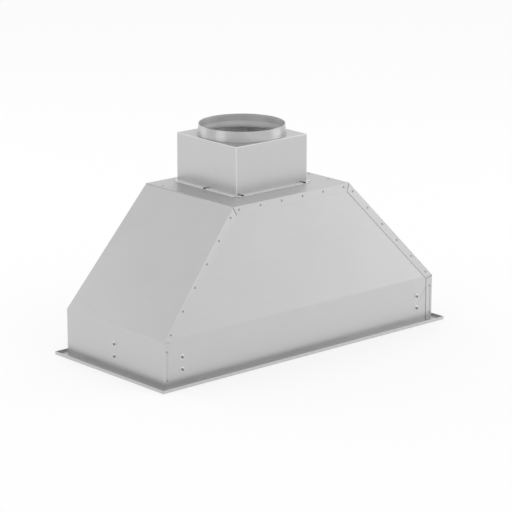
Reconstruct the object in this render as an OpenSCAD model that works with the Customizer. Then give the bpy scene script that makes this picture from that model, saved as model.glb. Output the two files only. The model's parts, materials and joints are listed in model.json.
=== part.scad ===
// Range hood insert: a folded sheet shell on a trim frame, with an outlet box and duct collar above,
// a blower and a backdraft damper inside, and filters, lamps and push buttons in its underside.
// Millimetres. +Z is up, the front faces -Y, and the origin is under the centre of the trim frame.

/* [Shell] */
// Overall width over the trim frame
trim_w = 864; // [820:2:960]
// Overall depth over the trim frame
trim_d = 388; // [384:2:410]
// Height of the top plate above the underside of the trim
shell_h = 364; // [358:1:390]
// Height of the upright skirt
skirt_h = 109.5; // [100:0.5:125]
// Width of the top plate
top_w = 354; // [350:2:400]
// How far the top front edge stands behind the face of the skirt
front_setback = 42.5; // [30:0.5:46]
// Thickness of the shell's sheet
sheet = 1.2; // [0.9:0.1:1.5]
// Width of the folded edges that are riveted to the front and rear panels
seam_w = 19; // [16:0.5:24]
// Width of the slot where a folded edge turns a corner
mitre_gap = 1; // [0.6:0.1:1.6]
// How far the side panels reach in under the top plate
top_lap = 22; // [18:1:26]

/* [Trim frame] */
// How far the trim stands out beyond the skirt
trim_out = 20.5; // [18:0.5:24]
// Height of the turned up outer lip
lip_h = 7; // [5:0.5:9]
// Height of the upright leg inside the skirt
leg_h = 14; // [10:0.5:15]
// Distance between the two fixing holes in each side of the trim
fixing_span = 240; // [200:5:280]
// Diameter of the fixing holes
fixing_d = 4.8; // [4:0.1:5.5]

/* [Outlet box and collar] */
// Width of the outlet box
box_w = 215; // [212:1:230]
// Depth of the outlet box
box_d = 209; // [208:1:214]
// Height of the outlet box
box_h = 114; // [100:1:130]
// Space behind the outlet box on the top plate
box_rear_space = 28; // [24:1:30]
// Width of the outlet box's feet
box_foot = 11; // [9:0.5:13]
// Outside diameter of the duct collar
collar_d = 202.6; // [196:0.2:202.8]
// How much the collar's mouth is drawn in, on the diameter
rim_draw = 3; // [2:0.2:5]
// Height of the duct collar above the outlet box
collar_h = 24.5; // [20:0.5:35]
// Thickness of the collar's wall
collar_wall = 1; // [0.8:0.1:1.5]
// Length of the plain lip at the collar's mouth
rim_lip = 3; // [2:0.5:5]
// Length of the tapered step below that lip
rim_taper = 5; // [3:0.5:8]
// How far the collar reaches down inside the outlet box
collar_tail = 5; // [3:0.5:8]
// Height of the bead that stands on the outlet box
bead_h = 1.5; // [1:0.1:2]
// How far the bead stands out from the collar
bead_out = 0.8; // [0.5:0.1:0.9]

/* [Underside] */
// Height of the underside panels above the trim
tray_z = 24; // [22:0.5:26]
// Depth of the front strip that holds the lamps and buttons
strip_d = 89; // [84:1:94]
// Height of the upright flanges that are screwed to the skirt
flange_top = 78; // [76:1:90]
// Width of the rails beside the filters
rail_w = 16; // [14:1:20]
// Width of the bar between the filters
divider_w = 20; // [16:1:24]
// Height of the upright web on that bar
divider_h = 20; // [14:1:26]
// Depth of the grease channel along the rear
channel_d = 24; // [22:0.5:27]
// Height of the channel's floor
channel_z = 16; // [15.2:0.2:17]
// Width of the channel's ledge, which carries the filters
ledge_d = 8; // [6:0.5:10]

/* [Filters] */
// Thickness of a filter
filter_t = 12; // [11:0.5:14]
// Thickness of the filter's sheet
filter_sheet = 0.8; // [0.6:0.1:1]
// Width of the lips of the filter's frame
filter_lip = 10; // [8:0.5:12]
// How far a filter reaches back over the ledge
filter_over = 19; // [16:0.5:20]
// Gap between a filter and the strip in front of it
filter_front_gap = 2; // [1.6:0.1:3]
// Distance between the filter's baffles
slat_pitch = 34; // [30:1:40]
// Width of one baffle
slat_w = 26; // [22:0.5:28]
// Height of one baffle
slat_h = 6; // [5:0.2:6.4]
// Width of a filter's handle
handle_w = 90; // [70:5:120]
// Drop of a filter's handle
handle_drop = 16; // [13:0.5:18]
// Diameter of the handle's rod
handle_d = 5; // [4:0.5:6]
// Diameter of the handle's feet
handle_foot_d = 9; // [7:0.5:9.5]
// Thickness of the handle's feet
handle_foot_t = 1.5; // [1:0.1:2]
// Width of the spring clips that hold a filter's front edge
clip_w = 24; // [16:1:40]
// Height of the spring clips
clip_h = 15; // [12:0.5:20]
// Depth of the spring clips' feet
clip_foot = 12; // [8:0.5:13]

/* [Lamps and buttons] */
// Distance of each lamp from the middle
lamp_x = 250; // [220:5:300]
// Diameter of the lamp's body
lamp_d = 59; // [50:1:62]
// Diameter of the lamp's flange
lamp_flange_d = 72; // [68:1:74]
// Height of the lamp's body above the panel
lamp_h = 22; // [18:1:30]
// Thickness of the lamp's flange below the panel
lamp_flange_t = 1.5; // [1:0.1:2]
// Wall of the lamp's body
lamp_wall = 2.5; // [2:0.1:3]
// Thickness of the lamp's lens
lens_t = 2.5; // [2:0.1:3]
// Width of the button bezel
bezel_w = 170; // [160:2:200]
// Depth of the button bezel
bezel_d = 36; // [32:1:40]
// Thickness of the button bezel
bezel_t = 1.5; // [1.2:0.1:2]
// Wall of the bezel's frame behind the panel
bezel_wall = 2; // [1.5:0.1:2.5]
// Height of the bezel's frame above the panel's underside
bezel_h = 10; // [9:0.5:12]
// Distance between the buttons
button_pitch = 28; // [24:0.5:30]
// Diameter of a button
button_d = 16; // [12:0.5:18]
// How far a button stands out of the bezel
button_out = 1.8; // [1.6:0.1:2]
// Travel of a button
button_travel = 1.5; // [1:0.1:1.5]
// Thickness of a button's retaining flange
button_flange_t = 1.2; // [0.8:0.1:1.5]
// How far the retaining flange stands out
button_flange_out = 1.5; // [1:0.1:2]
// Diameter of a button's stem
button_stem_d = 6; // [4:0.5:8]
// Thickness of the circuit board
board_t = 1.6; // [1.2:0.1:2]
// Height of the switches on the circuit board
switch_h = 2.4; // [2:0.1:2.8]
// Length of the lamp driver
driver_w = 80; // [60:2:100]
// Depth of the lamp driver
driver_d = 40; // [30:1:44]
// Height of the lamp driver
driver_h = 22; // [16:1:30]
// Height of the cover over the lamps and the buttons
cover_h = 47; // [40:1:50]
// Width of that cover
cover_w = 660; // [640:5:690]
// Space between that cover and the rear edge of the strip
cover_set = 14; // [13:0.5:16]

/* [Blower] */
// Distance of the wheel's axis behind the middle
blower_y = 4; // [0:0.5:6]
// Height of the wheel's axis
blower_z = 190; // [186:1:200]
// Inside width of the blower housing
blower_w = 170; // [166:1:172]
// Radius of the housing at its tongue
scroll_start = 88; // [86:0.5:92]
// Radius of the housing at its outlet
scroll_end = 128; // [124:0.5:130]
// Angle of the tongue
tongue_angle = 70; // [64:1:76]
// Diameter of the housing's inlets
inlet_d = 120; // [112:1:124]
// Depth of the turned-in rim of an inlet
inlet_rim = 6; // [3:0.5:7]
// Width of the flanges under the top plate
hang_flange = 14; // [10:0.5:14]
// Diameter of the blower wheel
wheel_d = 160; // [150:1:164]
// Width of the blower wheel
wheel_w = 150; // [140:1:152]
// Radial depth of the wheel's blades
blade_d = 14; // [10:0.5:16]
// Thickness of a blade
blade_t = 0.9; // [0.7:0.1:1.2]
// Slant of a blade
blade_slant = 35; // [20:1:40]
// Number of blades
blade_count = 32; // [20:1:40]
// Thickness of the wheel's disc and end rings
disc_t = 2; // [1.5:0.1:3]
// Diameter of the wheel's hub
hub_d = 28; // [22:1:34]
// Length of the wheel's hub
hub_len = 30; // [20:1:36]
// Diameter of the motor's shaft
shaft_d = 10; // [8:0.5:12]
// Diameter of the motor
motor_d = 90; // [80:1:94]
// Length of the motor
motor_len = 70; // [60:1:76]
// Distance of the motor's near end from the middle of the wheel
motor_x = 25; // [22:0.5:28]
// Depth of the motor's cap
motor_cap = 8; // [6:0.5:10]
// Thickness of the motor bracket
bracket_t = 3; // [2:0.2:4]
// Radial thickness of the bracket's ring
bracket_ring = 5; // [4:0.5:6]
// Width of the bracket's arms
arm_w = 14; // [10:0.5:18]
// Distance of the bracket's screws from the axis
arm_reach = 72; // [70:0.5:76]
// Thickness of the rubber mounts
grommet_t = 3; // [2:0.2:4]
// Diameter of the rubber mounts
grommet_d = 14; // [11:0.5:16]
// Diameter of the run capacitor
capacitor_d = 32; // [25:1:36]
// Length of the run capacitor
capacitor_len = 62; // [50:1:70]
// Thickness of the capacitor's clip
clip_t = 1.2; // [0.8:0.1:1.6]
// Width of the capacitor's clip
strap_w = 14; // [10:1:20]
// Diameter of the motor's lead
lead_d = 6; // [5:0.5:7]

/* [Damper] */
// Height of the damper's frame
damper_h = 16; // [14:0.5:20]
// Height of the ledge that the leaves rest on
damper_ledge_h = 6; // [5:0.5:7]
// Width of the rim round the damper's opening
damper_rim = 9; // [8:0.5:9.5]
// Wall of the damper's frame above the ledge
damper_wall = 4; // [3:0.5:5]
// Thickness of a damper leaf
leaf_t = 0.8; // [0.6:0.1:1.2]
// Diameter of the damper's spindle
spindle_d = 5; // [4:0.2:5]
// Wall of the leaves' knuckles
knuckle_wall = 1.4; // [1.2:0.1:1.5]
// Length of one knuckle
knuckle_len = 22; // [16:1:26]

/* [Wiring] */
// Width of the wiring box
wiring_w = 50; // [40:1:50]
// Depth of the wiring box
wiring_d = 66; // [50:1:70]
// Height of the wiring box
wiring_h = 40; // [30:1:50]
// Distance of the wiring box's left side from the middle
wiring_x = 104; // [102:0.5:105]
// Diameter of the cable's hole in the gland
gland_bore = 10; // [8:0.2:11]
// Diameter of the gland's thread
gland_thread = 16; // [15:0.2:18]
// Size of the gland's hexagon across its corners
gland_hex = 22; // [20:0.5:24]
// Height of the gland above the top plate
gland_h = 12; // [10:0.5:16]
// Length of the gland below the top plate
gland_tail = 12; // [9:0.5:14]

/* [Fasteners] */
// Diameter of a rivet's head
rivet_head = 5.4; // [4.5:0.1:6.5]
// Height of a rivet's head
rivet_rise = 1.1; // [0.8:0.1:1.5]
// Diameter of a rivet's body
rivet_d = 3.2; // [2.6:0.1:3.6]
// Distance of the rivets from the folded edges
rivet_in = 8; // [7:0.5:9]
// Number of rivets along each seam
rivet_count = 6; // [3:1:9]
// Distance of the first and last rivet from a corner
rivet_end = 22; // [18:1:30]
// Distance of the rivets in the top plate from its sides
top_rivet_in = 11; // [9:0.5:14]
// Distance of the skirt screws from the sides
skirt_screw_in = 50.5; // [46:0.5:60]
// Height of the lower skirt screws
skirt_screw_low = 36.5; // [34:0.5:44]
// Height between a pair of skirt screws
skirt_screw_pair = 28.5; // [22:0.5:32]
// Diameter of the machine screws
screw_d = 4; // [3:0.1:4.5]
// Diameter of a machine screw's head
screw_head = 7.6; // [7:0.1:8.5]
// Height of a machine screw's head
screw_rise = 2.2; // [1.6:0.1:2.6]
// Diameter of the skirt screws' washers
washer_d = 12; // [9.5:0.1:13]
// Thickness of those washers
washer_t = 1; // [0.8:0.1:1.4]
// Height of a nut
nut_h = 3.2; // [2.4:0.1:4]
// Size of a nut across its corners
nut_w = 8; // [7.4:0.1:9]

/* [Clearances] */
// Gap between a moving piece and its seat
seat_gap = 0.3; // [0.25:0.05:0.45]
// Gap along a filter's sides
side_gap = 1; // [0.6:0.1:1.5]
// Gap between a filter's front edge and its clips
clip_gap = 0.7; // [0.5:0.1:0.9]
// Radial play of shafts and knuckles
running_play = 0.08; // [0.04:0.01:0.1]
// Radial play of screws and rivets in their holes
hole_play = 0.15; // [0.1:0.05:0.25]

/* [Hidden] */

// How far a cut runs past what it cuts
over = 20;
round_fn = 96;
small_fn = 32;
steel = [0.78, 0.78, 0.79];
dark_steel = [0.62, 0.63, 0.64];
black = [0.12, 0.12, 0.13];

// Shell: the faces of the skirt, and the slopes above it
body_w = trim_w - 2 * trim_out;
body_d = trim_d - 2 * trim_out;
half_w = body_w / 2;
half_d = body_d / 2;
half_top = top_w / 2;
rise = shell_h - skirt_h;
slope = (half_w - half_top) / rise;
slope_len = sqrt(1 + slope * slope);
lean = atan2(front_setback, rise);
inner_w = half_w - sheet;
inner_d = half_d - 2 * sheet;
trim_band = trim_out + 2 * sheet;

// Inside corners of the side sheets, seen from the front as [x, z]
function slope_x(z, depth) = half_w - depth * slope_len - (z - skirt_h) * slope;
function skirt_corner(depth) = [half_w - depth, skirt_h - depth * (slope_len - 1) / slope];
// Face of the front sheets at a height, seen from the side
function front_y(z, depth) = z > skirt_h
    ? -half_d + depth / cos(lean) + (z - skirt_h) * tan(lean)
    : -half_d + depth;
function mirrored(points) = [for (p = points) [-p[0], p[1]]];

// An outline in Y and Z, drawn out along X about the middle
module along_x(len) {
    translate([-len / 2, 0, 0])
        rotate([90, 0, 90])
            linear_extrude(len)
                children();
}

// An outline in X and Z, drawn out along Y between two places
module along_y(from, to) {
    translate([0, to, 0])
        rotate([90, 0, 0])
            linear_extrude(to - from)
                children();
}

// A box between two corners
module block(low, high) {
    translate(low)
        cube(high - low);
}

// A round rod along a row of places, with a ball at each bend
ball_share = 1.02;
module rod(route, r) {
    last = len(route) - 1;
    for (i = [0:last - 1]) {
        d = route[i + 1] - route[i];
        translate(route[i])
            rotate([0, acos(d[2] / norm(d)), atan2(d[1], d[0])])
                cylinder(h = norm(d), r = r, $fn = small_fn);
    }
    for (i = [1:last - 1])
        translate(route[i])
            sphere(r = r * ball_share, $fn = small_fn);
}

// A layer of the front, between two depths below its outer face
module front_layer(outer, inner, z0, z1) {
    bend = skirt_h - tan(lean / 2) * outer;
    bend_in = skirt_h - tan(lean / 2) * inner;
    along_x(body_w)
        polygon([
            [-half_d + outer, z0], [-half_d + outer, bend], [front_y(z1, outer), z1],
            [front_y(z1, inner), z1], [-half_d + inner, bend_in], [-half_d + inner, z0]
        ]);
}

// Everything in front of the shell
module before_front() {
    z1 = shell_h + over;
    along_x(body_w + over)
        polygon([
            [-half_d - over, -over], [-half_d, -over], [-half_d, skirt_h],
            [front_y(z1, 0), z1], [-half_d - over, z1]
        ]);
}

// Space inside the side sheets, seen from the front
module inner_outline(z0, z1) {
    side = [[inner_w, z0], skirt_corner(sheet), [slope_x(z1, sheet), z1]];
    left = mirrored([for (i = [2:-1:0]) side[i]]);
    polygon(concat(side, left));
}

// The folded edge of a side panel, seen from the front
seam_corner = skirt_corner(seam_w);
seam_top_z = shell_h - seam_w;
module side_seam_outline() {
    top_z = shell_h - sheet;
    polygon([
        [half_w, sheet], [half_w, skirt_h], [slope_x(top_z, 0), top_z],
        [slope_x(seam_top_z, seam_w), seam_top_z], seam_corner, [half_w - seam_w, sheet]
    ]);
}

// The slot in that edge where the sheet bends
module seam_slot() {
    start = skirt_corner(sheet);
    half = mitre_gap / 2;
    polygon([
        start + [0, half], start - [0, half],
        seam_corner + [-half, -half], seam_corner + [-half, half]
    ]);
}

module top_seam_outline() {
    corner = slope_x(seam_top_z, seam_w) - mitre_gap;
    edge = half_top - mitre_gap;
    polygon([[-edge, shell_h], [edge, shell_h], [corner, seam_top_z], [-corner, seam_top_z]]);
}

// Fasteners. Each is drawn at the origin, with its head on the outside at +Z.
module rivet() {
    cylinder(h = rivet_rise, r1 = rivet_head / 2, r2 = rivet_head / 3, $fn = small_fn);
    translate([0, 0, -2 * sheet - rivet_rise])
        cylinder(h = 2 * sheet + rivet_rise, r = rivet_d / 2, $fn = small_fn);
}

module rivet_hole() {
    translate([0, 0, -4 * sheet])
        cylinder(h = 5 * sheet, r = rivet_d / 2 + hole_play, $fn = small_fn);
}

module screw(len, rise = 0) {
    translate([0, 0, rise])
        cylinder(h = screw_rise, r = screw_head / 2, $fn = small_fn);
    translate([0, 0, -len])
        cylinder(h = len + rise, r = screw_d / 2, $fn = small_fn);
}

module washer() {
    difference() {
        cylinder(h = washer_t, r = washer_d / 2, $fn = small_fn);
        translate([0, 0, -over])
            cylinder(h = 2 * over, r = screw_d / 2 + hole_play, $fn = small_fn);
    }
}

module nut() {
    difference() {
        cylinder(h = nut_h, r = nut_w / 2, $fn = 6);
        translate([0, 0, -over])
            cylinder(h = 2 * over, r = screw_d / 2 + hole_play, $fn = small_fn);
    }
}

module screw_hole(len) {
    translate([0, 0, -len])
        cylinder(h = 2 * len, r = screw_d / 2 + hole_play, $fn = small_fn);
}

// Places of the rivets along the seams of one side, as [x, z] seen from the front
slope_run = rise * slope_len;
rivet_step = (slope_run - 2 * rivet_end) / (rivet_count - 1);
function on_slope(along, in) = [
    half_w - (along * slope + in) / slope_len,
    skirt_h + (along - in * slope) / slope_len
];
slope_rivets = [for (i = [0:rivet_count - 1]) on_slope(rivet_end + rivet_step * i, rivet_in)];
skirt_rivet_shares = [0.18, 0.77];
skirt_rivets = [for (share = skirt_rivet_shares) [half_w - rivet_in, skirt_h * share]];
side_rivets = concat(slope_rivets, skirt_rivets);
// Places of the rivets along the top seams
top_rivet_x_share = 0.9;
top_rivet_first = half_top * top_rivet_x_share;
top_seam_rivets = [
    for (i = [0:rivet_count - 1])
        [-top_rivet_first + 2 * top_rivet_first * i / (rivet_count - 1), shell_h - rivet_in]
];
seam_rivets = concat(side_rivets, mirrored(side_rivets), top_seam_rivets);
// Places of the rivets along each side of the top plate, as shares of its depth from the rear
top_depth = half_d - front_y(shell_h, 0);
top_rivet_shares = [0.153, 0.372, 0.59, 0.809];
top_plate_rivets = [
    for (side = [-1, 1], share = top_rivet_shares)
        [side * (half_top - top_rivet_in), half_d - share * top_depth]
];

// Carries its children to a place on the front of the shell, with +Z outwards
module on_front(place) {
    translate([place[0], front_y(place[1], 0), place[1]])
        rotate([place[1] > skirt_h ? 90 - lean : 90, 0, 0])
            children();
}

module on_rear(place) {
    translate([place[0], half_d, place[1]])
        rotate([-90, 0, 0])
            children();
}

// Carries its children to every rivet along the front and rear seams
module at_seam_rivets() {
    for (place = seam_rivets) {
        on_front(place)
            children();
        on_rear(place)
            children();
    }
}

module at_top_rivets() {
    for (place = top_plate_rivets)
        translate([place[0], place[1], shell_h])
            children();
}

// Pairs of screws through the skirt, which hold the underside panels
skirt_screw_zs = [skirt_screw_low, skirt_screw_low + skirt_screw_pair];
skirt_screw_x = half_w - skirt_screw_in;
// Carries its children to the skirt screws, with +Z outwards and the outer sheet's face at zero
module at_skirt_screws() {
    for (z = skirt_screw_zs, side = [-1, 1]) {
        translate([side * skirt_screw_x, -half_d + sheet, z])
            rotate([90, 0, 0])
                children();
        translate([side * skirt_screw_x, half_d - sheet, z])
            rotate([-90, 0, 0])
                children();
        translate([side * half_w, 0, z])
            rotate([0, side * 90, 0])
                children();
    }
}

// Outlet box: centre and screws through its feet
box_y = half_d - box_rear_space - box_d / 2;
// Radius of the collar's tail, drawn in below the bead to fit the hole in the box
tail_r = collar_d / 2 - 2 * collar_wall;
box_screw_share = 0.88;
foot_mid = box_foot / 2;
box_screw_spots = concat(
    [
        for (sx = [-1, 1], sy = [-1, 1])
            [sx * box_w / 2 * box_screw_share, box_y + sy * (box_d / 2 + foot_mid)]
    ],
    [for (sx = [-1, 1]) [sx * (box_w / 2 + foot_mid), box_y]]
);
module at_box_screws(z) {
    for (spot = box_screw_spots)
        translate([spot[0], spot[1], z])
            children();
}

// Blower housing: a spiral about the wheel's axis, open at the top
scroll_steps = 29;
function scroll_r(angle) = scroll_start
    + (scroll_end - scroll_start) * (angle - tongue_angle) / (360 - tongue_angle);
function scroll_points(inset) = [
    for (i = [0:scroll_steps])
        let (angle = tongue_angle + (360 - tongue_angle) * i / scroll_steps)
        [blower_y + (scroll_r(angle) - inset) * cos(angle), blower_z + (scroll_r(angle) - inset) * sin(angle)]
];
tongue_y = blower_y + scroll_start * cos(tongue_angle);
outlet_rear = blower_y + scroll_end;
under_top = shell_h - sheet;
outlet_mid = (tongue_y + outlet_rear) / 2;
outlet_d = outlet_rear - tongue_y;
half_blower = blower_w / 2;
module scroll_outline(inset, top) {
    tip = [tongue_y + inset, blower_z + scroll_start * sin(tongue_angle) - inset];
    polygon(concat(
        scroll_points(inset),
        [[outlet_rear - inset, top], [tongue_y + inset, top]],
        inset > 0 ? [tip] : []
    ));
}
// Turns a shape drawn about Z onto the wheel's axis, which runs along X
module on_axis() {
    translate([0, blower_y, blower_z])
        rotate([90, 0, 90])
            children();
}
hang_spots = [for (side = [-1, 1], share = [0.2, 0.8])
    [side * (half_blower + sheet + hang_flange / 2), tongue_y + outlet_d * share]];
arm_angles = [30, 150, 270];

// Damper: a frame on the top plate and a spindle across it
damper_x = half_blower + damper_rim;
damper_y = outlet_d / 2 + damper_rim;
ledge_z = shell_h + damper_ledge_h;
leaf_z = ledge_z + seat_gap;
knuckle_bore = spindle_d / 2 + running_play;
knuckle_r = knuckle_bore + knuckle_wall;
spindle_z = leaf_z + knuckle_r;
leaf_half_w = damper_x - damper_wall - side_gap;
leaf_root = knuckle_r + 2 * seat_gap;
leaf_reach = damper_y - damper_wall - 2 * seat_gap;
knuckle_spots = [for (share = [0.22, 0.72]) share * half_blower];

// Underside: the front strip, the rails and the channel
tray_top = tray_z + sheet;
strip_rear = -inner_d + strip_d;
channel_front = inner_d - channel_d;
rail_front = strip_rear + seat_gap;
rail_rear = channel_front - seat_gap;
lamp_y = (-inner_d + strip_rear) / 2 - sheet;

// Filters
filter_bottom = tray_top + seat_gap;
filter_top = filter_bottom + filter_t;
filter_front = strip_rear + filter_front_gap;
filter_rear = channel_front + filter_over;
filter_in = divider_w / 2 + side_gap;
filter_out = inner_w - rail_w - side_gap;
filter_mid = (filter_in + filter_out) / 2;
filter_w = filter_out - filter_in;
slat_room = filter_w - 2 * filter_sheet;
slat_count = floor(slat_room / slat_pitch);

// Wiring box and gland
wiring_y = outlet_rear - wiring_d / 2 - 6 * sheet;
gland_x = box_w / 2 + box_foot + gland_hex / 2 + 2 * sheet;
gland_y = wiring_y + wiring_d / 4;

// Holes for the rivets, through the seams and the sheets behind them
module seam_rivet_holes() {
    at_seam_rivets()
        rivet_hole();
}

module right_side_sheet() {
    top_z = shell_h - sheet;
    lap_x = half_top - top_lap;
    difference() {
        union() {
            along_y(-half_d, half_d)
                polygon([
                    [half_w, sheet], [half_w, skirt_h], [slope_x(top_z, 0), top_z], [lap_x, top_z],
                    [lap_x, top_z - sheet], [slope_x(top_z - sheet, sheet), top_z - sheet],
                    skirt_corner(sheet), [inner_w, sheet]
                ]);
            intersection() {
                front_layer(0, sheet, sheet, shell_h - sheet);
                along_y(-half_d - over, half_d)
                    side_seam_outline();
            }
            along_y(half_d - sheet, half_d)
                side_seam_outline();
        }
        before_front();
        along_y(-half_d - over, half_d + over)
            seam_slot();
        seam_rivet_holes();
        at_top_rivets()
            rivet_hole();
        at_skirt_screws()
            screw_hole(4 * sheet);
        // The lap stops short of the top plate's own folded edges
        block([lap_x - over, -half_d, top_z - 2 * sheet], [half_top, front_y(top_z, 2 * sheet), top_z]);
        block([lap_x - over, inner_d, top_z - 2 * sheet], [half_top, half_d + over, top_z]);
    }
}

module right_side_panel() {
    color(steel)
        right_side_sheet();
}

module left_side_panel() {
    color(steel)
        mirror([1, 0, 0])
            right_side_sheet();
}

module top_plate() {
    color(steel)
        difference() {
            union() {
                along_x(top_w)
                    polygon([
                        [front_y(shell_h, 0), shell_h], [half_d, shell_h],
                        [half_d, under_top], [front_y(under_top, 0), under_top]
                    ]);
                intersection() {
                    front_layer(0, sheet, sheet, shell_h);
                    along_y(-half_d - over, half_d)
                        top_seam_outline();
                }
                along_y(half_d - sheet, half_d)
                    top_seam_outline();
            }
            block(
                [-half_blower, tongue_y + sheet, under_top - over],
                [half_blower, outlet_rear - sheet, shell_h + over]
            );
            seam_rivet_holes();
            at_top_rivets()
                rivet_hole();
            at_box_screws(shell_h)
                screw_hole(over);
            for (spot = hang_spots)
                translate([spot[0], spot[1], shell_h])
                    screw_hole(over);
            translate([gland_x, gland_y, shell_h - over])
                cylinder(h = 2 * over, r = gland_thread / 2 + hole_play, $fn = round_fn);
        }
}

module front_panel() {
    color(steel)
        difference() {
            intersection() {
                front_layer(sheet, 2 * sheet, sheet, shell_h - 2 * sheet);
                along_y(-half_d - over, half_d)
                    inner_outline(sheet, shell_h - 2 * sheet);
            }
            seam_rivet_holes();
            at_skirt_screws()
                screw_hole(4 * sheet);
        }
}

module rear_panel() {
    color(steel)
        difference() {
            along_y(half_d - 2 * sheet, half_d - sheet)
                inner_outline(sheet, shell_h - 2 * sheet);
            seam_rivet_holes();
            at_skirt_screws()
                screw_hole(4 * sheet);
        }
}

// The whole trim frame, before its four strips are cut apart at the mitres
module trim_ring() {
    tw = trim_w / 2;
    td = trim_d / 2;
    difference() {
        block([-tw, -td, 0], [tw, td, lip_h]);
        block([-tw + sheet, -td + sheet, sheet], [tw - sheet, td - sheet, lip_h + over]);
        block([-inner_w, -inner_d, -over], [inner_w, inner_d, lip_h + over]);
    }
    difference() {
        block([-inner_w, -inner_d, 0], [inner_w, inner_d, leg_h]);
        block([-inner_w + sheet, -inner_d + sheet, -over], [inner_w - sheet, inner_d - sheet, leg_h + over]);
    }
}

// One strip of the trim frame: side 0 is the front, 1 the right, 2 the rear and 3 the left
module trim_strip(side) {
    tw = trim_w / 2;
    td = trim_d / 2;
    in = 2 * trim_band;
    corners = [[-tw, -td], [tw, -td], [tw, td], [-tw, td]];
    inner = [[-tw + in, -td + in], [tw - in, -td + in], [tw - in, td - in], [-tw + in, td - in]];
    next = (side + 1) % 4;
    color(steel)
        difference() {
            intersection() {
                trim_ring();
                translate([0, 0, -over])
                    linear_extrude(leg_h + 2 * over)
                        polygon([corners[side], corners[next], inner[next], inner[side]]);
            }
            for (sx = [-1, 1], sy = [-1, 1])
                translate([sx * (half_w + trim_out / 2), sy * fixing_span / 2, -over])
                    cylinder(h = 2 * over, r = fixing_d / 2, $fn = round_fn);
        }
}

module trim_front() {
    trim_strip(0);
}

module trim_right() {
    trim_strip(1);
}

module trim_rear() {
    trim_strip(2);
}

module trim_left() {
    trim_strip(3);
}

module transition_box() {
    low_x = box_w / 2;
    low_d = box_d / 2;
    box_top = shell_h + box_h;
    color(steel)
        translate([0, box_y, 0])
            difference() {
                union() {
                    block([-low_x, -low_d, shell_h], [low_x, low_d, box_top]);
                    block([-low_x - box_foot, -low_d, shell_h], [low_x + box_foot, low_d, shell_h + sheet]);
                    block([-low_x, -low_d - box_foot, shell_h], [low_x, low_d + box_foot, shell_h + sheet]);
                }
                block(
                    [-low_x + sheet, -low_d + sheet, shell_h - over],
                    [low_x - sheet, low_d - sheet, box_top - sheet]
                );
                cylinder(h = box_top + over, r = tail_r + hole_play, $fn = 2 * round_fn);
                translate([0, -box_y, 0])
                    at_box_screws(shell_h)
                        screw_hole(over);
            }
}

// Outline of the collar's wall, from its axis outwards
module collar_outline() {
    r = collar_d / 2;
    rim_r = r - rim_draw / 2;
    wall = collar_wall;
    tail_z = -sheet - collar_tail;
    step_z = collar_h - rim_lip - rim_taper;
    polygon([
        [tail_r - wall, tail_z], [tail_r, tail_z], [tail_r, 0], [r + bead_out, 0],
        [r + bead_out, bead_h / 2], [r, bead_h], [r, step_z], [rim_r, step_z + rim_taper], [rim_r, collar_h],
        [rim_r - wall, collar_h], [rim_r - wall, step_z + rim_taper], [r - wall, step_z],
        [r - wall, bead_h], [tail_r - wall, 0]
    ]);
}

module duct_collar() {
    color(steel)
        translate([0, box_y, shell_h + box_h])
            rotate_extrude($fn = 2 * round_fn)
                collar_outline();
}

module rivets() {
    color(dark_steel) {
        at_seam_rivets()
            rivet();
        at_top_rivets()
            rivet();
    }
}

module skirt_screws() {
    color(dark_steel) {
        at_skirt_screws() {
            washer();
            screw(2 * sheet + nut_h, washer_t);
        }
    }
}

module skirt_nuts() {
    color(dark_steel)
        at_skirt_screws()
            translate([0, 0, -2 * sheet - nut_h])
                nut();
}

module box_screws() {
    color(black)
        at_box_screws(shell_h + sheet)
            screw(3 * sheet);
}

// Front strip of the underside, with holes for the lamps and the bezel
module light_panel() {
    color(steel)
        difference() {
            union() {
                block([-inner_w, -inner_d, tray_z], [inner_w, strip_rear, tray_top]);
                block([-inner_w, -inner_d, tray_z], [inner_w, -inner_d + sheet, flange_top]);
            }
            at_lamps(tray_z)
                cylinder(h = 2 * over, r = lamp_d / 2 + seat_gap, center = true, $fn = round_fn);
            block(
                [-bezel_inner_w, lamp_y - bezel_inner_d, tray_z - over],
                [bezel_inner_w, lamp_y + bezel_inner_d, tray_z + over]
            );
            at_skirt_screws()
                screw_hole(4 * sheet);
        }
}

// Trough along the rear: a floor, a rear flange, and a front wall with the ledge for the filters
module grease_channel() {
    color(steel)
        difference() {
            along_x(2 * inner_w)
                polygon([
                    [channel_front, channel_z], [inner_d, channel_z], [inner_d, flange_top],
                    [inner_d - sheet, flange_top], [inner_d - sheet, channel_z + sheet],
                    [channel_front + sheet, channel_z + sheet], [channel_front + sheet, tray_z],
                    [channel_front + ledge_d, tray_z], [channel_front + ledge_d, tray_top],
                    [channel_front, tray_top]
                ]);
            seam_rivet_holes();
            at_skirt_screws()
                screw_hole(4 * sheet);
        }
}

module right_rail() {
    difference() {
        union() {
            block([inner_w - rail_w, rail_front, tray_z], [inner_w, rail_rear, tray_top]);
            block([inner_w - sheet, rail_front, tray_z], [inner_w, rail_rear, flange_top]);
        }
        at_skirt_screws()
            screw_hole(4 * sheet);
    }
}

module side_rail_right() {
    color(steel)
        right_rail();
}

module side_rail_left() {
    color(steel)
        mirror([1, 0, 0])
            right_rail();
}

module filter_divider() {
    half = divider_w / 2;
    color(steel) {
        block([-half, rail_front, tray_z], [half, rail_rear, tray_top]);
        block([-sheet / 2, rail_front, tray_top], [sheet / 2, rail_rear, tray_top + divider_h]);
    }
}

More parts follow.
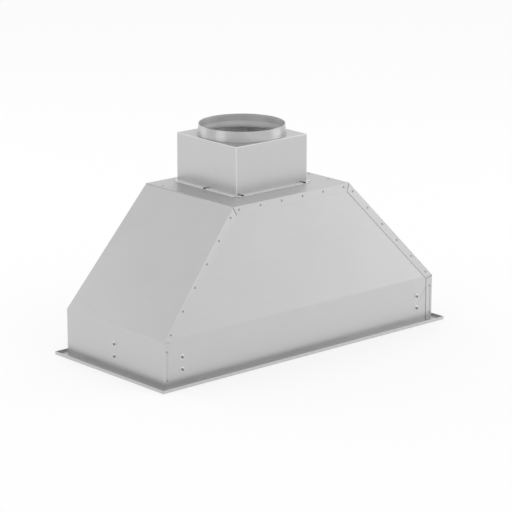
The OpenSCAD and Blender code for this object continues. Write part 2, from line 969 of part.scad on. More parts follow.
// Spring clips on the front strip, two for each filter
clip_share = 0.28;
module filter_clips() {
    leaf_y = filter_front - clip_gap;
    color(dark_steel)
        for (side = [-1, 1], end = [-1, 1])
            translate([side * (filter_mid + end * filter_w * clip_share) - clip_w / 2, 0, 0]) {
                block(
                    [0, leaf_y - clip_foot, tray_top],
                    [clip_w, leaf_y, tray_top + filter_sheet]
                );
                block(
                    [0, leaf_y - filter_sheet, tray_top],
                    [clip_w, leaf_y, tray_top + clip_h]
                );
            }
}

// The frame of a filter, a channel bent round its edge, for the right-hand side
module right_filter_frame() {
    difference() {
        block([filter_in, filter_front, filter_bottom], [filter_out, filter_rear, filter_top]);
        block(
            [filter_in + filter_sheet, filter_front + filter_sheet, filter_bottom + filter_sheet],
            [filter_out - filter_sheet, filter_rear - filter_sheet, filter_top - filter_sheet]
        );
        block(
            [filter_in + filter_lip, filter_front + filter_lip, filter_bottom - over],
            [filter_out - filter_lip, filter_rear - filter_lip, filter_top + over]
        );
    }
}

module filter_frame_right() {
    color(steel)
        right_filter_frame();
}

module filter_frame_left() {
    color(steel)
        mirror([1, 0, 0])
            right_filter_frame();
}

// One baffle, a shallow trough that runs from front to rear
module slat() {
    y0 = filter_front + filter_sheet;
    y1 = filter_rear - filter_sheet;
    half = slat_w / 2;
    along_y(y0, y1)
        polygon([
            [-half, 0], [half, 0], [half, slat_h], [half - filter_sheet, slat_h],
            [half - filter_sheet, filter_sheet], [-half + filter_sheet, filter_sheet],
            [-half + filter_sheet, slat_h], [-half, slat_h]
        ]);
}

// Two layers of baffles: the lower ones open upwards, the upper ones hang over the gaps
module right_filter_baffles() {
    for (i = [0:slat_count - 1])
        translate([filter_mid + (i - (slat_count - 1) / 2) * slat_pitch, 0, filter_bottom + filter_sheet])
            slat();
    for (i = [0:slat_count - 2])
        translate([filter_mid + (i - (slat_count - 2) / 2) * slat_pitch, 0, filter_top - filter_sheet])
            mirror([0, 0, 1])
                slat();
}

module filter_baffles_right() {
    color(dark_steel)
        right_filter_baffles();
}

module filter_baffles_left() {
    color(dark_steel)
        mirror([1, 0, 0])
            right_filter_baffles();
}

// A bent rod under the front lip of a filter, on two round feet
module right_filter_handle() {
    r = handle_d / 2;
    y = filter_front + filter_lip / 2;
    low = filter_bottom - handle_drop + r;
    half = handle_w / 2;
    foot_z = filter_bottom - handle_foot_t;
    for (side = [-1, 1])
        translate([filter_mid + side * half, y, foot_z])
            cylinder(h = handle_foot_t, r = handle_foot_d / 2, $fn = small_fn);
    rod([
        [filter_mid - half, y, foot_z], [filter_mid - half, y, low],
        [filter_mid + half, y, low], [filter_mid + half, y, foot_z]
    ], r);
}

module filter_handle_right() {
    color(dark_steel)
        right_filter_handle();
}

module filter_handle_left() {
    color(dark_steel)
        mirror([1, 0, 0])
            right_filter_handle();
}

// Carries its children to both lamps
module at_lamps(z) {
    for (side = [-1, 1])
        translate([side * lamp_x, lamp_y, z])
            children();
}

lamp_r = lamp_d / 2 - lamp_wall;
lens_r = lamp_r - seat_gap;
lens_z = tray_z - lamp_flange_t + seat_gap;
lens_seat_share = 0.8;
lens_seat = lamp_wall * lens_seat_share;
module lamp_housing(side) {
    color("white")
        translate([side * lamp_x, lamp_y, tray_z])
            rotate_extrude($fn = round_fn)
                polygon([
                    [lamp_r, -lamp_flange_t], [lamp_flange_d / 2, -lamp_flange_t], [lamp_flange_d / 2, 0],
                    [lamp_d / 2, 0], [lamp_d / 2, lamp_h], [0, lamp_h], [0, lamp_h - lamp_wall],
                    [lamp_r - lens_seat, lamp_h - lamp_wall],
                    [lamp_r - lens_seat, lens_z - tray_z + lens_t], [lamp_r, lens_z - tray_z + lens_t]
                ]);
}

module lamp_housing_left() {
    lamp_housing(-1);
}

module lamp_housing_right() {
    lamp_housing(1);
}

module lamp_lens(side) {
    color([0.95, 0.95, 0.9])
        translate([side * lamp_x, lamp_y, lens_z])
            cylinder(h = lens_t, r = lens_r, $fn = round_fn);
}

module lamp_lens_left() {
    lamp_lens(-1);
}

module lamp_lens_right() {
    lamp_lens(1);
}

// Button bezel: a plate below the panel and a frame that stands up through it
frame_inset_share = 2.5;
frame_inset = bezel_wall * frame_inset_share;
bezel_inner_w = bezel_w / 2 - frame_inset;
bezel_inner_d = bezel_d / 2 - frame_inset;
bezel_low = tray_z - bezel_t;
button_hole_r = button_d / 2 + seat_gap;
module control_bezel() {
    color(black)
        translate([0, lamp_y, 0])
            difference() {
                union() {
                    block([-bezel_w / 2, -bezel_d / 2, bezel_low], [bezel_w / 2, bezel_d / 2, tray_z]);
                    block(
                        [-bezel_inner_w + seat_gap, -bezel_inner_d + seat_gap, bezel_low],
                        [bezel_inner_w - seat_gap, bezel_inner_d - seat_gap, tray_z + bezel_h]
                    );
                }
                block(
                    [-bezel_inner_w + bezel_wall, -bezel_inner_d + bezel_wall, tray_z],
                    [bezel_inner_w - bezel_wall, bezel_inner_d - bezel_wall, tray_z + bezel_h + over]
                );
                for (i = [-2:2])
                    translate([i * button_pitch, 0, 0])
                        cylinder(h = tray_top + over, r = button_hole_r, $fn = round_fn);
            }
}

// A push button, held behind the bezel by a flange and pressed upwards
module button(place) {
    flange_z = tray_z + seat_gap;
    stem_top = tray_z + bezel_h - switch_h - button_travel - seat_gap;
    color(steel)
        translate([place * button_pitch, lamp_y, 0]) {
            translate([0, 0, bezel_low - button_out])
                cylinder(
                    h = button_out + bezel_t + seat_gap + button_flange_t,
                    r = button_d / 2, $fn = round_fn
                );
            translate([0, 0, flange_z])
                cylinder(h = button_flange_t, r = button_d / 2 + button_flange_out, $fn = round_fn);
            translate([0, 0, flange_z])
                cylinder(h = stem_top - flange_z, r = button_stem_d / 2, $fn = small_fn);
        }
}

module button_power() {
    button(-2);
}

module button_slower() {
    button(-1);
}

module button_faster() {
    button(0);
}

module button_timer() {
    button(1);
}

module button_light() {
    button(2);
}

// Circuit board on the bezel's frame, with a switch over each button
module control_board() {
    board_z = tray_z + bezel_h;
    color("darkgreen")
        translate([0, lamp_y, 0]) {
            block(
                [-bezel_inner_w + seat_gap, -bezel_inner_d + seat_gap, board_z],
                [bezel_inner_w - seat_gap, bezel_inner_d - seat_gap, board_z + board_t]
            );
            for (i = [-2:2])
                translate([i * button_pitch, 0, board_z - switch_h])
                    cylinder(h = switch_h, r = button_stem_d / 2, $fn = small_fn);
        }
}

driver_share = 0.62;
module lamp_driver() {
    x = lamp_x * driver_share;
    color("white")
        block(
            [x - driver_w / 2, lamp_y - driver_d / 2, tray_top],
            [x + driver_w / 2, lamp_y + driver_d / 2, tray_top + driver_h]
        );
}

// A lid over the lamps and the buttons, open underneath and against the front flange
module electronics_cover() {
    half = cover_w / 2;
    front = -inner_d + sheet;
    rear = strip_rear - cover_set;
    color(dark_steel)
        difference() {
            block([-half, front, tray_top], [half, rear, tray_top + cover_h]);
            block(
                [-half + sheet, front - over, tray_top - over],
                [half - sheet, rear - sheet, tray_top + cover_h - sheet]
            );
        }
}

// The band of the blower housing, open at its outlet and between the outlet and the tongue
module blower_scroll() {
    color(dark_steel)
        difference() {
            along_x(blower_w)
                scroll_outline(0, under_top);
            along_x(blower_w + over)
                scroll_outline(sheet, shell_h + over);
        }
}

// A side of the blower housing: a plate with a rimmed inlet and a flange under the top plate
module right_blower_side() {
    difference() {
        union() {
            translate([half_blower + sheet / 2, 0, 0])
                along_x(sheet)
                    scroll_outline(0, under_top);
            translate([half_blower - inlet_rim, 0, 0])
                on_axis()
                    cylinder(h = inlet_rim, r = inlet_d / 2 + sheet, $fn = round_fn);
            block(
                [half_blower, tongue_y, under_top - sheet],
                [half_blower + sheet + hang_flange, outlet_rear, under_top]
            );
        }
        on_axis()
            cylinder(h = half_blower + over, r = inlet_d / 2, $fn = round_fn);
        for (spot = hang_spots)
            translate([spot[0], spot[1], shell_h])
                screw_hole(over);
        at_arms(half_blower)
            cylinder(h = over, r = screw_d / 2 + hole_play, $fn = small_fn);
    }
}

module blower_side_right() {
    color(dark_steel)
        right_blower_side();
}

module blower_side_left() {
    color(dark_steel)
        mirror([1, 0, 0])
            right_blower_side();
}

// Carries its children to the ends of the motor bracket's arms, at a place along the axis
module at_arms(x) {
    translate([x, 0, 0])
        on_axis()
            for (angle = arm_angles)
                rotate([0, 0, angle])
                    translate([arm_reach, 0, 0])
                        children();
}

// Double-inlet wheel: a disc and two end rings, joined by slanted blades
module impeller() {
    r = wheel_d / 2;
    mid = r - blade_d / 2;
    color("silver")
        on_axis()
            difference() {
                union() {
                    cylinder(h = disc_t, r = mid, center = true, $fn = round_fn);
                    cylinder(h = hub_len, r = hub_d / 2, center = true, $fn = round_fn);
                    for (i = [0:blade_count - 1])
                        rotate([0, 0, (i + 0.5) * 360 / blade_count])
                            translate([mid, 0, 0])
                                rotate([0, 0, blade_slant])
                                    cube([blade_d, blade_t, wheel_w - disc_t], center = true);
                    for (side = [-1, 1])
                        translate([0, 0, side * (wheel_w - disc_t) / 2])
                            difference() {
                                cylinder(h = disc_t, r = r, center = true, $fn = round_fn);
                                cylinder(h = over, r = mid - disc_t, center = true, $fn = round_fn);
                            }
                }
                cylinder(h = hub_len + over, r = shaft_d / 2 + running_play, center = true, $fn = round_fn);
            }
}

module motor_shaft() {
    far = motor_x + motor_len - motor_cap / 2;
    color("silver")
        translate([-hub_len / 2, 0, 0])
            on_axis()
                cylinder(h = hub_len / 2 + far, r = shaft_d / 2, $fn = round_fn);
}

// Motor: a round can with a cap on the wheel's side and a bore for its shaft
module motor() {
    cap_r = motor_d / 2 - sheet;
    color(black)
        translate([motor_x, 0, 0])
            on_axis()
                difference() {
                    union() {
                        cylinder(h = motor_len, r = cap_r, $fn = round_fn);
                        translate([0, 0, motor_cap])
                            cylinder(h = motor_len - motor_cap, r = motor_d / 2, $fn = round_fn);
                    }
                    translate([0, 0, -over])
                        cylinder(
                            h = motor_len + over - motor_cap / 2 + seat_gap,
                            r = shaft_d / 2 + running_play, $fn = round_fn
                        );
                }
}

bracket_x = half_blower + sheet + grommet_t;
module motor_bracket() {
    ring_r = motor_d / 2;
    color(dark_steel)
        difference() {
            translate([bracket_x, 0, 0])
                on_axis()
                    union() {
                        translate([0, 0, -motor_cap / 2])
                            cylinder(
                                h = bracket_t + motor_cap / 2,
                                r = ring_r + bracket_ring, $fn = round_fn
                            );
                        for (angle = arm_angles)
                            rotate([0, 0, angle])
                                translate([0, -arm_w / 2, 0])
                                    cube([arm_reach + arm_w / 2, arm_w, bracket_t]);
                    }
            on_axis()
                cylinder(h = bracket_x + over, r = ring_r + running_play, $fn = round_fn);
            at_arms(half_blower)
                cylinder(h = over, r = screw_d / 2 + hole_play, $fn = small_fn);
        }
}

module motor_grommets() {
    color(black)
        at_arms(half_blower + sheet)
            difference() {
                cylinder(h = grommet_t, r = grommet_d / 2, $fn = small_fn);
                translate([0, 0, -over])
                    cylinder(h = 2 * over, r = screw_d / 2 + hole_play, $fn = small_fn);
            }
}

// Screws of the motor bracket, and of the housing's flanges under the top plate
module blower_screws() {
    color(dark_steel) {
        at_arms(bracket_x + bracket_t)
            screw(bracket_t + grommet_t + 2 * sheet);
        for (spot = hang_spots)
            translate([spot[0], spot[1], shell_h - 2 * sheet])
                mirror([0, 0, 1])
                    screw(2 * sheet);
    }
}

// Run capacitor in a clip on the left side of the housing, beside its outlet
capacitor_r = capacitor_d / 2;
capacitor_x = -half_blower - sheet - clip_t - capacitor_r;
capacitor_rise_share = 0.7;
capacitor_z = blower_z + scroll_start * capacitor_rise_share;
module capacitor() {
    color("white")
        translate([capacitor_x, outlet_mid, capacitor_z])
            rotate([90, 0, 0])
                cylinder(h = capacitor_len, r = capacitor_r, center = true, $fn = round_fn);
}

module capacitor_clip() {
    outer = capacitor_r + clip_t;
    back_x = -half_blower - sheet;
    color(dark_steel)
        difference() {
            union() {
                translate([capacitor_x, outlet_mid, capacitor_z])
                    rotate([90, 0, 0])
                        cylinder(h = strap_w, r = outer, center = true, $fn = round_fn);
                block(
                    [back_x - clip_t, outlet_mid - strap_w / 2, capacitor_z - outer],
                    [back_x, outlet_mid + strap_w / 2, capacitor_z + outer]
                );
            }
            translate([capacitor_x, outlet_mid, capacitor_z])
                rotate([90, 0, 0])
                    cylinder(h = capacitor_len, r = capacitor_r + hole_play, center = true, $fn = round_fn);
        }
}

// The motor's lead, from the motor's end up beside the housing and under the wiring box
module motor_lead() {
    r = lead_d / 2;
    start_x = motor_x + motor_len;
    out_x = start_x + 3 * r;
    start_z = blower_z + motor_d / 4;
    box_low = under_top - wiring_h;
    run_z = box_low - 4 * r;
    color(black)
        rod([
            [start_x, blower_y, start_z], [out_x, blower_y, start_z], [out_x, blower_y, run_z],
            [out_x, wiring_y, run_z], [gland_x, wiring_y, run_z], [gland_x, wiring_y, box_low]
        ], r);
}

// Damper frame on the top plate, inside the outlet box
module damper_frame() {
    color(dark_steel)
        translate([0, outlet_mid, 0])
            difference() {
                block([-damper_x, -damper_y, shell_h], [damper_x, damper_y, shell_h + damper_h]);
                block(
                    [-half_blower, -outlet_d / 2 + sheet, shell_h - over],
                    [half_blower, outlet_d / 2 - sheet, shell_h + damper_h + over]
                );
                block(
                    [-damper_x + damper_wall, -damper_y + damper_wall, ledge_z],
                    [damper_x - damper_wall, damper_y - damper_wall, shell_h + damper_h + over]
                );
                translate([-damper_x - over, 0, spindle_z])
                    rotate([0, 90, 0])
                        cylinder(h = 2 * (damper_x + over), r = spindle_d / 2 + running_play, $fn = round_fn);
            }
}

module damper_spindle() {
    color("silver")
        translate([-damper_x, outlet_mid, spindle_z])
            rotate([0, 90, 0])
                cylinder(h = 2 * damper_x, r = spindle_d / 2, $fn = round_fn);
}

// A leaf of the damper: a plate that lies on the ledge, and two knuckles round the spindle
module damper_leaf(side) {
    flip = side > 0 ? 0 : 1;
    color("silver")
        translate([0, outlet_mid, 0])
            mirror([flip, 0, 0])
                mirror([0, flip, 0])
                    difference() {
                        union() {
                            block(
                                [-leaf_half_w, leaf_root, leaf_z],
                                [leaf_half_w, leaf_reach, leaf_z + leaf_t]
                            );
                            for (spot = [knuckle_spots[0], -knuckle_spots[1]]) {
                                block(
                                    [spot - knuckle_len / 2, 0, leaf_z],
                                    [spot + knuckle_len / 2, leaf_root + leaf_t, leaf_z + leaf_t]
                                );
                                translate([spot - knuckle_len / 2, 0, spindle_z])
                                    rotate([0, 90, 0])
                                        cylinder(h = knuckle_len, r = knuckle_r, $fn = round_fn);
                            }
                        }
                        translate([-damper_x, 0, spindle_z])
                            rotate([0, 90, 0])
                                cylinder(h = 2 * damper_x, r = knuckle_bore, $fn = round_fn);
                    }
}

module damper_leaf_front() {
    damper_leaf(-1);
}

module damper_leaf_rear() {
    damper_leaf(1);
}

// Wiring box under the top plate, open to the right, where its cover closes it
module wiring_box() {
    low = [wiring_x, wiring_y - wiring_d / 2, under_top - wiring_h];
    color(dark_steel)
        difference() {
            block(low, [wiring_x + wiring_w - sheet, wiring_y + wiring_d / 2, under_top]);
            block(
                low + [sheet, sheet, sheet],
                [wiring_x + wiring_w + over, wiring_y + wiring_d / 2 - sheet, under_top - sheet]
            );
            translate([gland_x, gland_y, under_top - over])
                cylinder(h = 2 * over, r = gland_thread / 2 + hole_play, $fn = round_fn);
        }
}

module wiring_cover() {
    color(dark_steel)
        block(
            [wiring_x + wiring_w - sheet, wiring_y - wiring_d / 2, under_top - wiring_h],
            [wiring_x + wiring_w, wiring_y + wiring_d / 2, under_top]
        );
}

// Gland for the supply cable, through the top plate into the wiring box
module cable_gland() {
    color(black)
        translate([gland_x, gland_y, 0])
            difference() {
                union() {
                    translate([0, 0, shell_h])
                        cylinder(h = gland_h / 2, r = gland_hex / 2, $fn = 6);
                    translate([0, 0, shell_h - gland_tail])
                        cylinder(h = gland_tail + gland_h, r = gland_thread / 2, $fn = round_fn);
                }
                translate([0, 0, shell_h - gland_tail - over])
                    cylinder(h = gland_tail + gland_h + 2 * over, r = gland_bore / 2, $fn = round_fn);
            }
}

left_side_panel();
right_side_panel();
top_plate();
front_panel();
rear_panel();
trim_front();
trim_rear();
trim_left();
trim_right();
transition_box();
duct_collar();
rivets();
skirt_screws();
skirt_nuts();
box_screws();
light_panel();
grease_channel();
side_rail_left();
side_rail_right();
filter_divider();
filter_clips();
filter_frame_left();
filter_frame_right();
filter_baffles_left();
filter_baffles_right();
filter_handle_left();
filter_handle_right();
lamp_housing_left();
lamp_housing_right();
lamp_lens_left();
lamp_lens_right();
control_bezel();
control_board();
button_power();
button_slower();
button_faster();
button_timer();
button_light();
lamp_driver();
electronics_cover();
blower_scroll();
blower_side_left();
blower_side_right();
impeller();
motor_shaft();
motor();
motor_bracket();
motor_grommets();
blower_screws();
capacitor();
capacitor_clip();
motor_lead();
damper_frame();
damper_spindle();
damper_leaf_front();
damper_leaf_rear();
wiring_box();
wiring_cover();
cable_gland();
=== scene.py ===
import json
import math

import bmesh
import bpy
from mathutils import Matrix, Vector


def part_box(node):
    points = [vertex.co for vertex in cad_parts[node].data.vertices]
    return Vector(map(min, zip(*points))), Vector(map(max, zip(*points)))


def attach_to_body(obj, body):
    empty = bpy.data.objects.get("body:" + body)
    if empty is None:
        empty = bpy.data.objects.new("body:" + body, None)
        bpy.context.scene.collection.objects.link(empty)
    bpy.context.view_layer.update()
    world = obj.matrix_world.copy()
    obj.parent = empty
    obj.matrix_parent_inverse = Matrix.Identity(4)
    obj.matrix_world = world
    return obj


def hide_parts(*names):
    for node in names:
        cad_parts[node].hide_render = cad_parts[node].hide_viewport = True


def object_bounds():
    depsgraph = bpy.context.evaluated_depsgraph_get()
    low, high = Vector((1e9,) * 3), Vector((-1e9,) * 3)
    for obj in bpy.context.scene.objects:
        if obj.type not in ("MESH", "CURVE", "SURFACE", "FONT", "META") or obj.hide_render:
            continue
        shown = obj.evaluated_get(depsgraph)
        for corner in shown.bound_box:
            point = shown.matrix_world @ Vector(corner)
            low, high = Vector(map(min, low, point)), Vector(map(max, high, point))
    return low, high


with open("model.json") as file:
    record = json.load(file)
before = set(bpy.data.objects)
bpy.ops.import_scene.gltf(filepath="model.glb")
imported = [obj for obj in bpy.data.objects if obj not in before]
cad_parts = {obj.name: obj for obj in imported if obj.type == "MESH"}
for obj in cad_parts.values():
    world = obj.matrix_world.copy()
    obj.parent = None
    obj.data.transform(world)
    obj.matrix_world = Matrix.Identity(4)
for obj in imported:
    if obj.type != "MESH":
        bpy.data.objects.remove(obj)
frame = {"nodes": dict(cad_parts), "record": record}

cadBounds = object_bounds()
nodes = frame["nodes"]
scene = bpy.context.scene
mm = 0.001
tiny = 2e-6  # points nearer than this are one point
white = (1, 1, 1, 1)


# Adds a node to a shader or geometry tree; each input is given a link or a value
def addNode(tree, kind, links=None, **settings):
    node = tree.nodes.new(kind)
    for key, value in settings.items():
        setattr(node, key, value)
    for key, source in (links or {}).items():
        if isinstance(source, bpy.types.NodeSocket):
            tree.links.new(source, node.inputs[key])
        else:
            node.inputs[key].default_value = source
    return node


def calculate(tree, operation, first, second=0.0):
    return addNode(tree, "ShaderNodeMath", {0: first, 1: second}, operation=operation).outputs[0]


def vectorMath(tree, operation, first, second):
    return addNode(tree, "ShaderNodeVectorMath", {0: first, 1: second}, operation=operation)


def vector(tree, x=0.0, y=0.0, z=0.0):
    return addNode(tree, "ShaderNodeCombineXYZ", {0: x, 1: y, 2: z}).outputs[0]


# Camera, floor and light

photoView = {
    "eye": (-3.8129, -4.3331, 1.7641),
    "lookAt": (0.0020, -0.0058, 0.1946),
    "lens": 181.88,
    "sensor": 36.0,
    "farthest": 100.0,
}
studio = {
    "floorSize": 30.0,
    "floorGap": 0.5 * mm,
    "floorTone": 0.95,
    "floorShade": 0.38,  # how much of its own light and shadow the floor shows
    "room": 0.94,
    "bright": (0.62, -0.70, 0.35),  # the way to the brighter side of the backdrop
    "fade": 0.8,
    "backdropDim": 0.86,
    "backdropBright": 1.0,
    "lampAim": (0, 0, 0.2),
}
lamps = {
    "key": {"place": (-4.9, 0.65, 1.0), "size": 2.2, "power": 14.0},
    "side": {"place": (2.9, -1.5, 0.8), "size": 2.0, "power": 9.0},
    "back": {"place": (-1.0, 3.0, 0.8), "size": 1.8, "power": 6.0},
    "top": {"place": (0.2, 0.4, 4.2), "size": 3.0, "power": 14.0},
}


def aimed(item, place, target):
    item.location = Vector(place)
    item.rotation_euler = (Vector(target) - item.location).to_track_quat("-Z", "Y").to_euler()
    scene.collection.objects.link(item)


def placeCamera(view):
    camera = bpy.data.objects.new("photoCamera", bpy.data.cameras.new("photoCamera"))
    camera.data.lens = view["lens"]
    camera.data.sensor_width = view["sensor"]
    camera.data.clip_end = view["farthest"]
    aimed(camera, view["eye"], view["lookAt"])
    scene.camera = camera


# One for the rays that should see the pale backdrop: straight, mirrored and refracted ones
def backdropRays(tree):
    rays = addNode(tree, "ShaderNodeLightPath").outputs
    mirrored = calculate(tree, "MAXIMUM", rays["Is Camera Ray"], rays["Is Glossy Ray"])
    return calculate(tree, "MAXIMUM", mirrored, rays["Is Transmission Ray"])


def mixShaders(tree, share, first, second):
    return addNode(tree, "ShaderNodeMixShader", {
        0: share, 1: first.outputs[0], 2: second.outputs[0],
    })


def lightWorld(settings):
    world = bpy.data.worlds.new("softRoom")
    scene.world = world
    world.use_nodes = True
    tree = world.node_tree
    tree.nodes.clear()
    place = addNode(tree, "ShaderNodeTexCoord")
    bright = Vector(settings["bright"]).normalized()
    toward = vectorMath(tree, "DOT_PRODUCT", place.outputs["Generated"], bright)
    fade = addNode(tree, "ShaderNodeMapRange", {
        "Value": toward.outputs["Value"],
        "From Min": -settings["fade"], "From Max": settings["fade"],
        "To Min": settings["backdropDim"], "To Max": settings["backdropBright"],
    }, interpolation_type="SMOOTHSTEP")
    backdrop = addNode(tree, "ShaderNodeBackground", {
        "Color": white, "Strength": fade.outputs["Result"],
    })
    room = addNode(tree, "ShaderNodeBackground", {"Color": white, "Strength": settings["room"]})
    mix = mixShaders(tree, backdropRays(tree), room, backdrop)
    addNode(tree, "ShaderNodeOutputWorld", {"Surface": mix.outputs[0]})


def layFloor(settings):
    bpy.ops.mesh.primitive_plane_add(size=settings["floorSize"], location=(0, 0, 0))
    floor = bpy.context.object
    floor.name = "floor"
    floor.location.z = cadBounds[0][2] - settings["floorGap"]
    material = bpy.data.materials.new("palePaper")
    material.use_nodes = True
    tree = material.node_tree
    tree.nodes.clear()
    paper = addNode(tree, "ShaderNodeBsdfDiffuse", {"Color": (*[settings["floorTone"]] * 3, 1)})
    glow = addNode(tree, "ShaderNodeEmission")
    share = calculate(tree, "MULTIPLY", backdropRays(tree), 1 - settings["floorShade"])
    # clear from underneath, so that the underside can be seen
    facing = addNode(tree, "ShaderNodeNewGeometry")
    clear = addNode(tree, "ShaderNodeBsdfTransparent")
    upper = mixShaders(tree, share, paper, glow)
    oneSided = mixShaders(tree, facing.outputs["Backfacing"], upper, clear)
    addNode(tree, "ShaderNodeOutputMaterial", {"Surface": oneSided.outputs[0]})
    floor.data.materials.append(material)


def hangLamps(settings):
    for name, values in settings.items():
        data = bpy.data.lights.new(name, "AREA")
        data.shape = "SQUARE"
        data.size = values["size"]
        data.energy = values["power"]
        aimed(bpy.data.objects.new(name, data), values["place"], studio["lampAim"])


scene.view_settings.view_transform = "Standard"
placeCamera(photoView)
lightWorld(studio)
layFloor(studio)
hangLamps(lamps)
print("studio set")

# Materials: each one is a surface with its own grain, relief and wear

fineRelief = 0.05 * mm
brushing = {
    "lines": 900.0, "detail": 3.0, "drawnOut": 0.012, "drawnRound": 0.0015,
    "smears": 7.0, "smearShare": 0.35, "smearsRound": 16.0, "smearShareRound": 0.4,
    "spread": 0.65, "spreadRound": 0.8,
}
ductAxis = (0.0, 0.041, 0.0)  # a point on the round outlet's upright axis


def surface(name):
    material = bpy.data.materials.new(name)
    material.use_nodes = True
    tree = material.node_tree
    return material, tree, tree.nodes["Principled BSDF"]


def grain(tree, scale, stretch=(1.0, 1.0, 1.0), detail=4.0, roughness=0.6):
    place = addNode(tree, "ShaderNodeTexCoord")
    mapping = addNode(tree, "ShaderNodeMapping", {
        "Vector": place.outputs["Object"], "Scale": stretch,
    })
    noise = addNode(tree, "ShaderNodeTexNoise", {
        "Vector": mapping.outputs[0], "Scale": scale, "Detail": detail, "Roughness": roughness,
    })
    return noise.outputs["Fac"]


def between(tree, value, low, high, span=(0.3, 0.7)):
    return addNode(tree, "ShaderNodeMapRange", {
        "Value": value, "From Min": span[0], "From Max": span[1], "To Min": low, "To Max": high,
    }).outputs["Result"]


def blendTones(tree, share, dark, light):
    tones = {0: share, 6: dark, 7: light}
    return addNode(tree, "ShaderNodeMix", tones, data_type="RGBA").outputs[2]


def average(tree, first, second, share):
    return addNode(tree, "ShaderNodeMix", {0: share, 2: first, 3: second}).outputs[0]


def relief(tree, shader, height, strength, distance=fineRelief):
    bump = addNode(tree, "ShaderNodeBump", {
        "Height": height, "Strength": strength, "Distance": distance,
    })
    tree.links.new(bump.outputs[0], shader.inputs["Normal"])


# Brushing spreads the light across its lines, so the tangent lies across them in the sheet
def spreadAcross(tree, shader, lineWay, amount):
    facing = addNode(tree, "ShaderNodeNewGeometry")
    across = vectorMath(tree, "CROSS_PRODUCT", facing.outputs["Normal"], lineWay)
    shader.inputs["Anisotropic"].default_value = amount
    tree.links.new(across.outputs[0], shader.inputs["Tangent"])


# Tone and roughness both follow one grain
def toneByGrain(tree, shader, value, tone, contrast, rough, span=(0.3, 0.7), metallic=1.0):
    dark = (*[t * (1 - contrast) for t in tone], 1)
    light = (*[min(1.0, t * (1 + contrast)) for t in tone], 1)
    share = between(tree, value, 0, 1, span)
    tree.links.new(blendTones(tree, share, dark, light), shader.inputs["Base Color"])
    tree.links.new(between(tree, value, *rough, span), shader.inputs["Roughness"])
    shader.inputs["Metallic"].default_value = metallic


# A metal with fine lines along one axis, and faint smears of handling over them
def brushedMetal(name, tone, along=0, rough=(0.30, 0.42), contrast=0.04):
    material, tree, shader = surface(name)
    stretch = [1.0, 1.0, 1.0]
    stretch[along] = brushing["drawnOut"]
    lines = grain(tree, brushing["lines"], stretch, brushing["detail"], 0.7)
    smears = grain(tree, brushing["smears"], detail=5.0, roughness=0.55)
    both = average(tree, lines, smears, brushing["smearShare"])
    toneByGrain(tree, shader, both, tone, contrast, rough)
    way = tuple(float(i == along) for i in range(3))
    spreadAcross(tree, shader, way, brushing["spread"])
    relief(tree, shader, lines, 0.05)
    return material


# The same metal brushed round the outlet's axis
def brushedRoundMetal(name, tone, rough=(0.33, 0.44), contrast=0.08):
    material, tree, shader = surface(name)
    place = addNode(tree, "ShaderNodeTexCoord")
    away = vectorMath(tree, "SUBTRACT", place.outputs["Object"], ductAxis).outputs[0]
    split = addNode(tree, "ShaderNodeSeparateXYZ", {0: away}).outputs
    angle = calculate(tree, "ARCTAN2", split["Y"], split["X"])
    squeezed = calculate(tree, "MULTIPLY", angle, brushing["drawnRound"])
    lines = addNode(tree, "ShaderNodeTexNoise", {
        "Vector": vector(tree, squeezed, 0.0, split["Z"]),
        "Scale": brushing["lines"], "Detail": brushing["detail"],
    }).outputs["Fac"]
    smears = grain(tree, brushing["smearsRound"], detail=4.0, roughness=0.5)
    both = average(tree, lines, smears, brushing["smearShareRound"])
    toneByGrain(tree, shader, both, tone, contrast, rough)
    around = vectorMath(tree, "CROSS_PRODUCT", (0, 0, 1), away)
    spreadAcross(tree, shader, around.outputs[0], brushing["spreadRound"])
    relief(tree, shader, lines, 0.06)
    return material


# Zinc coated sheet: small crystals that each turn the light a little
def spangledMetal(name, tone, rough=(0.30, 0.48), contrast=0.10, size=160.0):
    material, tree, shader = surface(name)
    place = addNode(tree, "ShaderNodeTexCoord")
    cells = addNode(tree, "ShaderNodeTexVoronoi", {
        "Vector": place.outputs["Object"], "Scale": size,
    }).outputs
    turned = addNode(tree, "ShaderNodeSeparateColor", {0: cells["Color"]}).outputs["Red"]
    both = average(tree, turned, grain(tree, 11.0), 0.4)
    toneByGrain(tree, shader, both, tone, contrast, rough, (0.2, 0.8))
    relief(tree, shader, cells["Distance"], 0.05)
    return material


# An even fine grain with worn patches over it
def evenSurface(name, tone, rough, contrast, sizes, share, strength, depth, metallic):
    material, tree, shader = surface(name)
    fine, worn = [grain(tree, size) for size in sizes]
    both = average(tree, fine, worn, share)
    toneByGrain(tree, shader, both, tone, contrast, rough, metallic=metallic)
    relief(tree, shader, fine, strength, depth)
    return material


# Turned, cast or ground metal
def smoothMetal(name, tone, rough=(0.16, 0.28)):
    return evenSurface(name, tone, rough, 0.05, (420.0, 34.0), 0.5, 0.04, 0.04 * mm, 1.0)


# Paint, plastic, rubber and solder mask
def coated(name, tone, rough=(0.35, 0.5), contrast=0.12):
    return evenSurface(name, tone, rough, contrast, (600.0, 28.0), 0.6, 0.12, 0.06 * mm, 0.0)


def frostedLens(name, tone, rough=(0.25, 0.4)):
    material, tree, shader = surface(name)
    fine = grain(tree, 900.0)
    dark = (*[t * 0.94 for t in tone], 1)
    share = between(tree, fine, 0, 1)
    tree.links.new(blendTones(tree, share, dark, (*tone, 1)), shader.inputs["Base Color"])
    tree.links.new(between(tree, fine, *rough), shader.inputs["Roughness"])
    shader.inputs["Transmission Weight"].default_value = 0.25
    shader.inputs["IOR"].default_value = 1.49
    relief(tree, shader, fine, 0.15)
    return material


